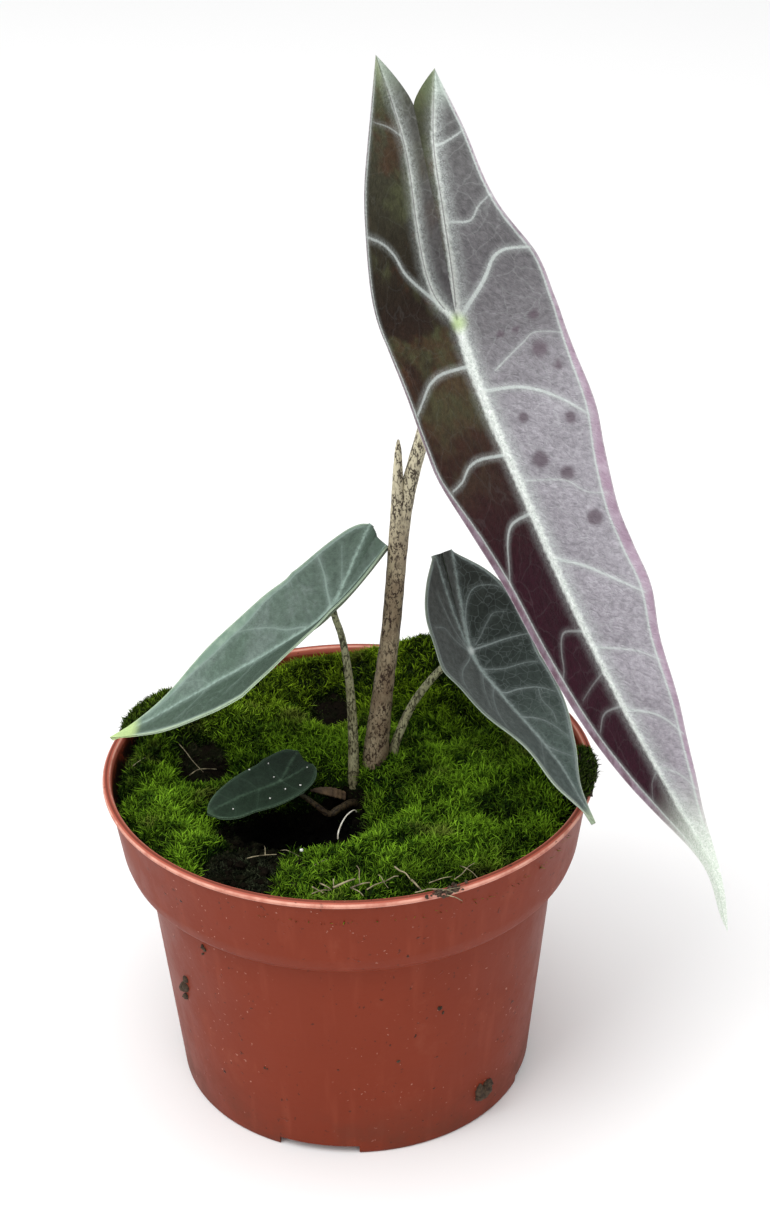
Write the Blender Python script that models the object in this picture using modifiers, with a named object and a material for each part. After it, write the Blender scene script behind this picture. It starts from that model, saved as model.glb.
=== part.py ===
"""A potted Alocasia amazonica: a plastic nursery pot with soil, a moss mat and a four-leaved plant.

Run it with blender --background --python part.py, or from Blender's text editor.
The scene is in metres, +Z up. The origin is the centre of the pot's underside. Sizes and places
below are in millimetres and are turned into metres by MM where they are used. The pot's front
faces -Y.
"""

import math

import bmesh
import bpy
import numpy as np
from mathutils import Vector, noise

MM = 0.001
GAP = 0.3  # between touching pieces

# Pot: radii and heights of a thin-walled turned shell
RIM_RADIUS = 60.0
POT_HEIGHT = 85.2
WALL = 0.9
LIP_WIDTH = 2.1
LIP_DEPTH = 1.7
COLLAR_DEPTH = 24.9
WAIST_RADIUS = 50.6
BASE_RADIUS = 44.3
FOOT_HEIGHT = 2.8
FLOOR_THICKNESS = 1.1
FLOOR_MIDDLE = 24.0  # radius of the floor's middle, which stands at foot level
POT_STEPS = 56
NOTCHES = 4
NOTCH_WIDTH = 20.0
NOTCH_HEIGHT = 2.4
NOTCH_TURN = -103.0  # degrees from +X to the front notch
DRAIN_HOLES = 8
DRAIN_RADIUS = 3.2
DRAIN_CIRCLE = 33.6

# Soil and moss
SOIL_LEVEL = 77.5
SOIL_RADIUS = 56.4
SOIL_STEPS = 44
SOIL_RINGS = 8
MOSS_THICKNESS = 5.0
MOSS_EDGE = 0.9
MOSS_TAPER = 7.0  # how far from its edge the mat is still thinner
# Rises and dips of the soil: middle x, y, half sizes along x and y, height
SOIL_RISES = (
    (6, 4, 12, 12, 3.0),
    (24, 46, 17, 12, 12.0),
    (-8, 54, 24, 9, 3.2),
    (-45, 30, 15, 15, 6.5),
    (50, -4, 12, 22, 4.5),
    (-13, -14, 17, 9.5, -7.5),
    (-1, -7, 4, 4, -3.0),
)
# Bare patches in the moss: middle x, y, half sizes, turn in degrees
BARE_PATCHES = (
    (-14, -17, 19, 12, 0),
    (-20, -40, 15, 17, 20),
    (-36, 10, 6.5, 9, 0),
    (-4, 35, 6, 8, 15),
    (5.8, 2.5, 7.6, 5.2, 0),
    (0, -4.5, 5.5, 6.5, 0),
    (46, -40, 17, 4.5, 48),
)

# Rootstock, in a plain hole in the soil
CORM_PLACE = (5.5, 2.5)
CORM_RADIUS = 8.6
CORM_TOP = 74.0
CORM_LENGTH = 22.0
CORM_HOLE_RADIUS = 9.3

# Stalks: points of the centre line from foot to blade, and radii at those points
STALK_MAIN = (
    ((5.9, 2.7, 74.3), 3.3),
    ((6.5, 2.8, 84), 3.2),
    ((8.7, 3, 103), 2.5),
    ((11.2, 3.2, 122.5), 2.25),
    ((13, 3.4, 141), 2.15),
    ((14.9, 3.4, 154), 1.9),
    ((18.3, 3, 168), 1.7),
    ((22.9, 2.2, 184.5), 1.6),
    ((25.6, 0, 196), 1.5),
    ((26.3, -2.6, 200.2), 1.5),
)
SHEATH_TIP = (
    ((12.3, 3.1, 141), 1.7),
    ((12.9, 2.8, 152), 1.5),
    ((13.1, 2.3, 161), 1.0),
    ((13.2, 1.8, 170), 0.3),
)
STALK_LEFT = (
    ((0.9, -0.5, 74.3), 1.45),
    ((1.2, 0, 92.5), 1.25),
    ((0.6, 0.5, 108), 1.0),
    ((-0.7, 0.3, 119), 0.85),
    ((-2.2, -0.2, 125), 0.8),
    ((-2.5, -0.7, 126.6), 0.8),
)
STALK_RIGHT = (
    ((10.8, 3.9, 74.3), 1.2),
    ((10.9, 3.9, 84), 1.2),
    ((12.4, 4.2, 90), 1.1),
    ((16.5, 5, 99), 1.0),
    ((23, 4.5, 108), 0.9),
    ((28.6, 2.3, 112.6), 0.85),
)
STALK_SMALL = (
    ((1.8, -3.4, 75.2), 1.0),
    ((0, -6, 77.0), 0.95),
    ((-3, -9.3, 77.4), 0.9),
    ((-5.2, -10.8, 77.2), 0.8),
    ((-8.5, -11, 80.2), 0.7),
    ((-11.6, -10.7, 82.8), 0.65),
    ((-15.7, -9.9, 84.9), 0.6),
)
STALK_POINTS = 18

# Blades. A spine runs from the notch between the lobes, over the joint with the stalk, to the tip.
# "Along" is measured on the spine from that joint, positive towards the tip, and "across" on the
# blade's own surface from the spine. Left and right are as seen from the upper face, tip down.
# Each half has its fold (along, degrees up from flat), its rib from the joint to the lobe's tip
# and its edge from near the blade's tip to the lobe, as (along, across). A vein is given by where
# it leaves the rib, where it meets the right edge and the left edge, and whether it stands out on
# each half.
MARGIN_THICKNESS = 0.6
ROW_SPACING = 9.0
VEIN_HALF_WIDTH = 1.0
COLUMNS = (0.0, 0.08, 0.36, 0.68, 1.0)
LOBE_COLUMNS = (0.0, 0.5, 1.0)
ROW_BOW = 1.6
LEAF_MAIN = {
    "spine": (
        (18, 12, 244),
        (22, 1, 224.5),
        (26.5, -5, 201),
        (31, -12, 187.5),
        (38, -19.5, 171.5),
        (50, -30, 144.5),
        (61, -38, 122.5),
        (72, -44, 102.5),
        (81.5, -48, 84.5),
        (86, -50, 67.5),
    ),
    "joint": 2,
    "facing": (0, -0.93, 0.37),
    "pleat": 45,
    "turn": -42,
    "rib_thickness": 2.4,
    "vein_thickness": 1.2,
    "puff": 0.6,
    "ripple": (0.7, 23),
    "right": {
        "fold": ((0, 20),),
        "rib": ((0, 0), (-10, 1.5), (-25, 2.5), (-40, 4), (-55.5, 9)),
        "edge": (
            (148, 1), (136, 2), (124, 4.5), (112, 8), (98, 12), (82, 15.2), (70, 18.4), (60, 18.7),
            (50, 18.9), (38, 21.2), (28, 23.3), (15, 23.5), (0, 23), (-12, 21.5), (-25, 14.5), (-40, 11.5),
        ),
    },
    "left": {
        "fold": ((0, 50),),
        "rib": ((0, 0), (-8, 5.5), (-20, 6.5), (-40, 5), (-61, 8)),
        "edge": (
            (148, 1.5), (138, 2), (130, 3.6), (118, 7.8), (104, 12.5), (88, 15.8), (70, 17.8), (56, 19.2),
            (42, 22.4), (30, 25.3), (22, 25), (12, 24.6), (0, 26), (-12, 26.5), (-26, 23.5), (-40, 17.5),
        ),
    },
    "veins": (
        (132, 137, 138, 1, 1),
        (113, 121, 121, 1, 1),
        (95, 105, 103, 1, 1),
        (77, 88, 87, 1, 1),
        (58, 71, 69, 1, 1),
        (37, 49, 46, 1, 1),
        (16, 29, 28, 1, 1),
        (0, -12, -10, 1, 0),
        (-7, -19, -27, 0, 1),
        (-16, -27, -33, 1, 0),
        (-24, -34, -39, 0, 1),
        (-34, -42, -45, 1, 1),
    ),
}
LEAF_LEFT = {
    "spine": (
        (8.6, 8, 142),
        (-3, -1, 128),
        (-14.5, -2, 119.5),
        (-32, 0.5, 107.5),
        (-48, 3, 96.5),
        (-58, 4.5, 91),
    ),
    "joint": 1,
    "facing": (-0.56, -0.25, 0.79),
    "pleat": 12,
    "turn": -15,
    "rib_thickness": 1.7,
    "vein_thickness": 0.95,
    "puff": 0.4,
    "ripple": (0.35, 19),
    "right": {
        "fold": ((-20, 36), (0, 36), (6, 34), (24, 18), (67, 17)),
        "rib": ((0, 0), (-12, 3), (-19.5, 4.5)),
        "edge": ((60, 3.5), (50, 9), (40, 13), (30, 15), (18, 15), (6, 13.5), (-6, 12), (-15, 8.5)),
    },
    "left": {
        "fold": ((-20, 26), (0, 26), (30, 18), (67, 17)),
        "rib": ((0, 0), (-12, 3), (-22.5, 5.5)),
        "edge": (
            (60, 1.5), (50, 4), (40, 8), (30, 11.5), (20, 13.5), (10, 14.5), (0, 14.5), (-10, 13),
            (-18, 9),
        ),
    },
    "veins": (
        (52, 56, 56, 1, 1),
        (39, 45, 45, 1, 1),
        (26, 33, 33, 1, 1),
        (13, 20, 20, 1, 1),
        (0, -3, -3, 1, 1),
        (-8, -12, -13, 1, 1),
    ),
}
LEAF_RIGHT = {
    "spine": (
        (23.1, 14.9, 133.8),
        (29.5, 2, 114),
        (36.5, -8, 107),
        (47, -23, 100),
        (53, -31, 92.5),
        (56.5, -34, 87.5),
    ),
    "joint": 1,
    "facing": (0.47, -0.28, 0.84),
    "pleat": 12,
    "turn": -18,
    "rib_thickness": 1.7,
    "vein_thickness": 0.95,
    "puff": 0.4,
    "ripple": (0.35, 17),
    "right": {
        "fold": ((0, 19),),
        "rib": ((0, 0), (-12, 2), (-25, 4)),
        "edge": (
            (49, 1), (42, 3), (34, 7), (26, 11.5), (18, 14), (10, 16), (0, 17), (-10, 16), (-18, 11.5),
        ),
    },
    "left": {
        "fold": ((0, 19),),
        "rib": ((0, 0), (-12, 1.5), (-24.5, 2)),
        "edge": (
            (49, 2), (42, 7), (34, 9.5), (26, 13.5), (18, 16.5), (10, 17), (0, 16.5), (-10, 14.5),
            (-18, 10),
        ),
    },
    "veins": (
        (40, 45, 45, 1, 1),
        (30, 36, 36, 1, 1),
        (20, 27, 27, 1, 1),
        (10, 17, 17, 1, 1),
        (0, -2, -2, 1, 1),
        (-9, -13, -13, 1, 1),
    ),
}
LEAF_SMALL = {
    "spine": (
        (-11, -3, 87.5),
        (-16.5, -9.5, 86),
        (-26, -14, 84.8),
        (-34, -19, 83.5),
    ),
    "joint": 1,
    "facing": (0, -0.28, 0.96),
    "pleat": 8,
    "turn": -6.5,
    "rib_thickness": 1.1,
    "vein_thickness": 0.8,
    "puff": 0.2,
    "ripple": (0.15, 9),
    "right": {
        "fold": ((0, 8),),
        "rib": ((0, 0), (-4, 1), (-9, 2.5)),
        "edge": ((18.5, 3.5), (16, 5.5), (12, 6.5), (6, 7), (0, 7), (-5, 5.5)),
    },
    "left": {
        "fold": ((0, 8),),
        "rib": ((0, 0), (-4, 1.5), (-10.5, 3)),
        "edge": ((18.5, 2), (16, 3.5), (12, 5), (6, 6.5), (0, 7.5), (-5, 7)),
    },
    "veins": (
        (13, 15, 15, 1, 1),
        (6, 9, 9, 1, 1),
        (0, -1, -1, 1, 1),
    ),
}

# Papery bract at the foot of the small stalk: centre line from its foot to its tip, half width
BRACT = (
    ((-1.9, -3.4, 77.0), 1.5),
    ((-4.4, -4.6, 78.8), 1.6),
    ((-7.2, -5.6, 80.2), 1.1),
    ((-9.6, -6.2, 80.9), 0.3),
)
BRACT_THICKNESS = 0.6
BRACT_ARCH = 0.9  # how far its middle stands above its two sides, as a share of its half width

COLOURS = {
    "pot": ((0.30, 0.055, 0.030), 0.45),
    "soil": ((0.020, 0.014, 0.010), 0.95),
    "moss": ((0.045, 0.16, 0.010), 0.9),
    "corm": ((0.16, 0.09, 0.05), 0.85),
    "stalk": ((0.36, 0.27, 0.17), 0.6),
    "blade_main": ((0.16, 0.10, 0.12), 0.4),
    "blade": ((0.09, 0.16, 0.12), 0.45),
    "bract": ((0.25, 0.13, 0.07), 0.7),
}


def clear_scene():
    for obj in list(bpy.data.objects):
        bpy.data.objects.remove(obj)


def collection(name):
    found = bpy.data.collections.new(name)
    bpy.context.scene.collection.children.link(found)
    return found


def material(name, key):
    """One Principled material, with the colour and roughness listed for the key."""
    made = bpy.data.materials.new(name)
    made.use_nodes = True
    shader = made.node_tree.nodes["Principled BSDF"]
    colour, roughness = COLOURS[key]
    shader.inputs["Base Color"].default_value = (*colour, 1)
    shader.inputs["Roughness"].default_value = roughness
    shader.inputs["Metallic"].default_value = 0
    made.diffuse_color = (*colour, 1)
    return made


def place_object(name, data, home, key=None):
    obj = bpy.data.objects.new(name, data)
    home.objects.link(obj)
    if key:
        data.materials.append(material(name, key))
    return obj


def as_mesh(obj, home):
    """Replaces a curve or a modified object by the welded mesh that it makes."""
    bpy.context.view_layer.update()
    graph = bpy.context.evaluated_depsgraph_get()
    mesh = bpy.data.meshes.new_from_object(obj.evaluated_get(graph))
    name, matrix = obj.name, obj.matrix_world.copy()
    bpy.data.objects.remove(obj)
    shape = bmesh.new()
    shape.from_mesh(mesh)
    bmesh.ops.remove_doubles(shape, verts=shape.verts, dist=0.005 * MM)
    shape.to_mesh(mesh)
    shape.free()
    made = bpy.data.objects.new(name, mesh)
    made.matrix_world = matrix
    home.objects.link(made)
    return made


def shade(obj, degrees=40):
    obj.data.shade_smooth()
    obj.data.set_sharp_from_angle(angle=math.radians(degrees))


def turned(name, profile, steps, home, key=None):
    """A profile of (radius, height), turned about Z. It runs down the outer side."""
    mesh = bpy.data.meshes.new(name)
    points = [(radius * MM, 0, height * MM) for radius, height in profile]
    edges = [(i, i + 1) for i in range(len(points) - 1)]
    mesh.from_pydata(points, edges, [])
    obj = place_object(name, mesh, home, key)
    screw = obj.modifiers.new("turn", "SCREW")
    screw.steps = steps
    screw.render_steps = steps
    screw.use_merge_vertices = True
    screw.merge_threshold = 0.01 * MM
    return obj


def cut(obj, cutter):
    cutter.hide_render = True
    cutter.display_type = "WIRE"
    boolean = obj.modifiers.new("cut", "BOOLEAN")
    boolean.operation = "DIFFERENCE"
    boolean.object = cutter


def cylinder(name, place, radius, low, high, home, steps=24):
    """A plain upright cylinder between two heights."""
    mesh = bpy.data.meshes.new(name)
    shape = bmesh.new()
    depth = (high - low) * MM
    bmesh.ops.create_cone(
        shape, cap_ends=True, segments=steps, radius1=radius * MM, radius2=radius * MM, depth=depth
    )
    shape.to_mesh(mesh)
    shape.free()
    obj = place_object(name, mesh, home)
    obj.location = (place[0] * MM, place[1] * MM, (low + high) / 2 * MM)
    return obj


def inner_wall():
    """The pot's inner side from under the lip to the middle of the floor, as (radius, height)."""
    collar = POT_HEIGHT - COLLAR_DEPTH
    floor = FOOT_HEIGHT + FLOOR_THICKNESS
    return (
        (RIM_RADIUS - 2.3, POT_HEIGHT - LIP_DEPTH - 0.3),
        (RIM_RADIUS - 4.7, collar + 6.5),
        (RIM_RADIUS - 5.7, collar + 3.9),
        (RIM_RADIUS - 7.6, collar + 1.8),
        (WAIST_RADIUS - WALL, collar + 0.9),
        (WAIST_RADIUS - WALL - 0.1, collar - 1.1),
        (BASE_RADIUS - 0.3, floor + 1.4),
        (BASE_RADIUS - 1.4, floor),
        (FLOOR_MIDDLE + 2.0, floor),
        (FLOOR_MIDDLE, FLOOR_THICKNESS),
        (0, FLOOR_THICKNESS),
    )


def outer_wall():
    """The pot's outer side from the lip to the middle of its underside."""
    collar = POT_HEIGHT - COLLAR_DEPTH
    return (
        (RIM_RADIUS - LIP_WIDTH, POT_HEIGHT - 0.7),
        (RIM_RADIUS - LIP_WIDTH + 0.6, POT_HEIGHT),
        (RIM_RADIUS - 0.7, POT_HEIGHT),
        (RIM_RADIUS, POT_HEIGHT - 0.7),
        (RIM_RADIUS, POT_HEIGHT - LIP_DEPTH + 0.4),
        (RIM_RADIUS - 0.5, POT_HEIGHT - LIP_DEPTH),
        (RIM_RADIUS - 1.3, POT_HEIGHT - LIP_DEPTH - 0.3),
        (RIM_RADIUS - 3.8, collar + 6.2),
        (RIM_RADIUS - 4.8, collar + 3.2),
        (RIM_RADIUS - 7.1, collar + 0.9),
        (WAIST_RADIUS, collar),
        (WAIST_RADIUS - 0.2, collar - 1.2),
        (BASE_RADIUS + 0.3, NOTCH_HEIGHT + 1.2),
        (BASE_RADIUS, 0.5),
        (BASE_RADIUS - 0.4, 0),
        (BASE_RADIUS - 1.4, 0),
        (BASE_RADIUS - 1.6, FOOT_HEIGHT),
        (FLOOR_MIDDLE + 1.4, FOOT_HEIGHT),
        (FLOOR_MIDDLE - 0.6, 0),
        (0, 0),
    )


def make_pot(home, cutters):
    profile = tuple(reversed(inner_wall())) + outer_wall()
    pot = turned("pot", profile, POT_STEPS, home, "pot")
    for index in range(NOTCHES):
        turn = math.radians(NOTCH_TURN + index * 360 / NOTCHES)
        mesh = bpy.data.meshes.new("notch_cutter")
        shape = bmesh.new()
        bmesh.ops.create_cube(shape, size=MM)
        bmesh.ops.scale(shape, vec=(5, NOTCH_WIDTH, 2 * NOTCH_HEIGHT), verts=shape.verts)
        shape.to_mesh(mesh)
        shape.free()
        notch = place_object(f"notch_cutter_{index + 1}", mesh, cutters)
        middle = BASE_RADIUS - 1.0
        notch.location = (middle * MM * math.cos(turn), middle * MM * math.sin(turn), 0)
        notch.rotation_euler.z = turn
        cut(pot, notch)
    for index in range(DRAIN_HOLES):
        turn = math.radians(NOTCH_TURN + (index + 0.5) * 360 / DRAIN_HOLES)
        place = (DRAIN_CIRCLE * math.cos(turn), DRAIN_CIRCLE * math.sin(turn))
        low, high = FOOT_HEIGHT - 1, FOOT_HEIGHT + FLOOR_THICKNESS + 1
        cut(pot, cylinder(f"drain_cutter_{index + 1}", place, DRAIN_RADIUS, low, high, cutters, 16))
    shade(pot, 30)


def bump(x, y, size, layer):
    """Smooth noise between about -1 and 1, with lumps of the given size."""
    return noise.noise(Vector((x / size, y / size, layer)))


def soil_height(x, y):
    height = SOIL_LEVEL
    for middle_x, middle_y, half_x, half_y, rise in SOIL_RISES:
        height += rise * math.exp(-(((x - middle_x) / half_x) ** 2) - ((y - middle_y) / half_y) ** 2)
    return height + 0.9 * bump(x, y, 9, 0.3) + 0.4 * bump(x, y, 4, 5.3)


def moss_margin(x, y):
    """Distance to the nearest bare patch or to the mat's outer edge."""
    margin = SOIL_RADIUS - math.hypot(x, y)
    for middle_x, middle_y, half_x, half_y, degrees in BARE_PATCHES:
        turn = math.radians(degrees)
        across = (x - middle_x) * math.cos(turn) + (y - middle_y) * math.sin(turn)
        up = (y - middle_y) * math.cos(turn) - (x - middle_x) * math.sin(turn)
        reach = math.hypot(across / half_x, up / half_y) - 1
        margin = min(margin, reach * min(half_x, half_y))
    return margin


def moss_height(x, y):
    """The top of the mat, which thins towards its edges and is lumpy all over."""
    share = min(max(moss_margin(x, y) / MOSS_TAPER, 0), 1)
    body = MOSS_EDGE + MOSS_THICKNESS * math.sqrt(share)
    lumps = share * (1.3 * bump(x, y, 8, 9.1) + 0.9 * bump(x, y, 3.6, 2.7))
    return soil_height(x, y) + 2 * GAP + body + lumps


def raise_heights(obj, level, height):
    """Moves the points that lie at the given level to the height found at their place."""
    for vertex in obj.data.vertices:
        x, y, z = vertex.co / MM
        if abs(z - level) < 0.01:
            vertex.co.z = height(x, y) * MM


def split_quads(obj):
    """Splits quads along their shorter diagonal, so that soil and moss are split alike."""
    shape = bmesh.new()
    shape.from_mesh(obj.data)
    bmesh.ops.triangulate(shape, faces=shape.faces, quad_method="SHORT_EDGE")
    shape.to_mesh(obj.data)
    shape.free()


def rings(count=SOIL_RINGS):
    return [SOIL_RADIUS * (index + 1) / count for index in range(count)]


def make_soil(home, cutters):
    side = [(radius - GAP - 0.1, height + GAP) for radius, height in inner_wall()[1:-1]]
    profile = [(0, SOIL_LEVEL)] + [(radius, SOIL_LEVEL) for radius in rings()] + side
    profile.append((0, FLOOR_THICKNESS + GAP))
    soil = as_mesh(turned("soil", profile, SOIL_STEPS, home), home)
    soil.data.materials.append(material("soil", "soil"))
    raise_heights(soil, SOIL_LEVEL, soil_height)
    split_quads(soil)
    low = CORM_TOP - CORM_LENGTH - GAP
    cut(soil, cylinder("corm_hole_cutter", CORM_PLACE, CORM_HOLE_RADIUS, low, POT_HEIGHT + 5, cutters))
    shade(soil)


def patch_cutter(index, patch, cutters):
    """An upright prism over one bare patch, with an uneven outline."""
    middle_x, middle_y, half_x, half_y, degrees = patch
    cutter = cylinder(f"patch_cutter_{index}", (middle_x, middle_y), 1, 60, 100, cutters, 22)
    for vertex in cutter.data.vertices:
        turn = math.atan2(vertex.co.y, vertex.co.x)
        swell = 1 + 0.10 * math.sin(3 * turn + index) + 0.06 * math.sin(7 * turn + 2 * index)
        vertex.co.x *= half_x * swell
        vertex.co.y *= half_y * swell
    cutter.rotation_euler.z = math.radians(degrees)
    return cutter


def make_moss(home, cutters):
    top, bottom = 1.0, 0.0
    profile = [(0, top)] + [(radius, top) for radius in rings()]
    profile += [(radius, bottom) for radius in reversed(rings())] + [(0, bottom)]
    moss = as_mesh(turned("moss", profile, SOIL_STEPS, home), home)
    moss.data.materials.append(material("moss", "moss"))
    raise_heights(moss, top, moss_height)
    raise_heights(moss, bottom, lambda x, y: soil_height(x, y) + GAP)
    split_quads(moss)
    for index, patch in enumerate(BARE_PATCHES, 1):
        cut(moss, patch_cutter(index, patch, cutters))
    shade(moss, 60)


def make_corm(home):
    """A short rootstock, ringed by the scars of old leaves."""
    profile = [(0, CORM_TOP), (CORM_RADIUS - 0.6, CORM_TOP)]
    scars = 4
    for index in range(scars):
        height = CORM_TOP - 1 - index * 0.75 * CORM_LENGTH / scars
        profile.append((CORM_RADIUS - 0.3 * index, height))
        profile.append((CORM_RADIUS - 0.7 - 0.3 * index, height - 1.6))
    profile += [(0.55 * CORM_RADIUS, CORM_TOP - 0.92 * CORM_LENGTH), (0, CORM_TOP - CORM_LENGTH)]
    corm = turned("corm", profile, 20, home, "corm")
    corm.location = (CORM_PLACE[0] * MM, CORM_PLACE[1] * MM, 0)
    shade(corm)


def unit(vectors):
    return vectors / np.linalg.norm(vectors, axis=-1, keepdims=True)


def smooth_curve(points, count):
    """A smooth curve through the points, as count points evenly spaced along it."""
    given = np.asarray(points, float)
    padded = np.vstack([2 * given[0] - given[1], given, 2 * given[-1] - given[-2]])
    t = np.linspace(0, 1, 25)[:, None]
    runs = []
    for a, b, c, d in zip(padded, padded[1:], padded[2:], padded[3:]):
        cubic = 2 * b + (c - a) * t + (2 * a - 5 * b + 4 * c - d) * t**2 + (3 * b - a - 3 * c + d) * t**3
        runs.append(0.5 * cubic[:-1])
    dense = np.vstack(runs + [given[-1:]])
    steps = np.linalg.norm(np.diff(dense, axis=0), axis=1)
    length = np.concatenate([[0], np.cumsum(steps)])
    stops = np.linspace(0, length[-1], count)
    return np.stack([np.interp(stops, length, column) for column in dense.T], 1)


def tube(name, stalk, home, key=None, count=STALK_POINTS):
    """A round stalk with its own radius at each point."""
    line = smooth_curve([(*place, radius) for place, radius in stalk], count)
    data = bpy.data.curves.new(name, "CURVE")
    data.dimensions = "3D"
    data.bevel_depth = MM
    data.bevel_resolution = 3
    data.use_fill_caps = True
    spline = data.splines.new("POLY")
    spline.points.add(count - 1)
    for point, (x, y, z, radius) in zip(spline.points, line):
        point.co = (x * MM, y * MM, z * MM, 1)
        point.radius = radius
    return place_object(name, data, home, key)


def make_stalks(home, cutters):
    main = as_mesh(tube("petiole_main", STALK_MAIN, home, "stalk", 26), home)
    tip = as_mesh(tube("sheath_tip", SHEATH_TIP, cutters, None, 9), cutters)
    union = main.modifiers.new("sheath", "BOOLEAN")
    union.operation = "UNION"
    union.object = tip
    tip.hide_render = True
    tip.display_type = "WIRE"
    shade(main, 60)
    for name, stalk in (
        ("petiole_left", STALK_LEFT),
        ("petiole_right", STALK_RIGHT),
        ("petiole_small", STALK_SMALL),
    ):
        tube(name, stalk, home, "stalk")


class Blade:
    """The form of one blade, as places on its two halves."""

    def __init__(self, leaf):
        self.leaf = leaf
        self.path = smooth_curve(leaf["spine"], 400)
        steps = np.linalg.norm(np.diff(self.path, axis=0), axis=1)
        along = np.concatenate([[0], np.cumsum(steps)])
        joint = np.argmin(np.linalg.norm(self.path - leaf["spine"][leaf["joint"]], axis=1))
        self.along = along - along[joint]
        self.length = self.along[-1]
        self.notch = self.along[0]

    def on_path(self, along):
        return np.stack([np.interp(along, self.along, column) for column in self.path.T], -1)

    def frame(self, along):
        """The spine's place, its side to the right and its upper normal."""
        inside = np.clip(along, self.notch, self.length)
        before = self.on_path(np.clip(inside - 2, self.notch, self.length))
        after = self.on_path(np.clip(inside + 2, self.notch, self.length))
        tangent = unit(after - before)
        place = self.on_path(inside) + tangent * (along - inside)[..., None]
        facing = np.asarray(self.leaf["facing"], float)
        normal = unit(facing - np.sum(facing * tangent, -1, keepdims=True) * tangent)
        return place, np.cross(normal, tangent), normal

    def rib(self, side, along):
        """How far across the main rib lies: on the spine in front, off it in the lobe."""
        line = smooth_curve(self.leaf[side]["rib"], 60)[::-1]
        return np.interp(along, line[:, 0], line[:, 1])

    def edge(self, side):
        """The outer edge from the blade's tip to the lobe's tip, as (along, across)."""
        half = self.leaf[side]
        return smooth_curve(((self.length, 0),) + half["edge"] + (half["rib"][-1],), 300)

    def place(self, side, along, across, lift):
        """Points of one half: a pleat between spine and rib, and beyond it the folded half."""
        place, right, normal = self.frame(along)
        rib = self.rib(side, along)
        inner = np.minimum(across, rib)
        outer = across - inner
        folds = np.asarray(self.leaf[side]["fold"], float)
        fold = np.radians(np.interp(along, folds[:, 0], folds[:, 1]))
        pleat = math.radians(self.leaf["pleat"])
        sideways = inner * math.cos(pleat) + outer * np.cos(fold)
        height = (rib - inner) * math.sin(pleat) + outer * np.sin(fold) + lift
        sign = 1 if side == "right" else -1
        return place + right * (sign * sideways)[..., None] + normal * height[..., None]

    def rows(self, side):
        """Rows from the blade's tip to the lobe's tip: (along the rib, along the edge, vein, share).

        Share runs from 0 to 1 between one vein and the next. Both halves have the same places on
        the spine, so that they meet there.
        """
        column = 1 if side == "right" else 2
        veins = self.leaf["veins"]
        turn = self.leaf["turn"]
        tip = self.leaf[side]["rib"][-1][0]
        marks = [(self.length, self.length, 0)]
        marks += [(vein[0], vein[column], vein[column + 2]) for vein in veins]
        marks += [(turn, (marks[-1][1] + tip) / 2, 0), (tip, tip, 0)]
        edges = [(self.length,)] + [vein[1:3] for vein in veins] + [(turn,), (tip,)]
        rows = [marks[0] + (0,)]
        for index, (rib, edge, _) in enumerate(marks[:-1]):
            next_rib, next_edge, vein = marks[index + 1]
            gap = max(rib - next_rib, max(edges[index]) - min(edges[index + 1]))
            steps = max(2, math.ceil(gap / ROW_SPACING))
            flank = VEIN_HALF_WIDTH / gap
            stops = [flank] if 0 < index <= len(veins) else []
            stops += [step / steps for step in range(1, steps)]
            stops += [1 - flank, 1] if index < len(veins) else [1]
            for t in stops:
                along_rib = rib + (next_rib - rib) * t
                along_edge = edge + (next_edge - edge) * t
                rows.append((along_rib, along_edge, vein * (t == 1), t))
        return np.array(rows)

    def half(self, side, columns):
        """Grid points and thicknesses of the part of one half outside its main rib."""
        leaf = self.leaf
        rows = self.rows(side)
        c = np.asarray(columns)[None, :]
        rib_along = rows[:, 0:1]
        rib_across = self.rib(side, rib_along)
        line = self.edge(side)
        reach = np.interp(-rows[:, 1], -line[:, 0], np.arange(len(line)))
        edge_along = np.interp(reach, np.arange(len(line)), line[:, 0])[:, None]
        edge_across = np.interp(reach, np.arange(len(line)), line[:, 1])[:, None]
        along = rib_along + (edge_along - rib_along) * c**ROW_BOW
        across = rib_across + (edge_across - rib_across) * c
        height, length = leaf["ripple"]
        wave = np.sin(2 * math.pi * along / length + (1 if side == "right" else 2.5))
        puff = leaf["puff"] * np.sin(math.pi * c) * np.sin(math.pi * rows[:, 3:4])
        width = np.clip(edge_across / 6, 0, 1)
        points = self.place(side, along, across, width * (puff + height * wave * c**2))
        margin = MARGIN_THICKNESS
        reach = np.where(rib_along > 0, rib_along / self.length, rib_along / leaf[side]["rib"][-1][0])
        rib_thick = (leaf["rib_thickness"] - margin) * np.clip(1 - reach, 0, 1) ** 0.7
        vein_thick = (leaf["vein_thickness"] - margin) * rows[:, 2:3] * (1 - c)
        thickness = margin + np.where(c == 0, np.maximum(rib_thick, vein_thick), vein_thick)
        return points, thickness, rows

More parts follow.
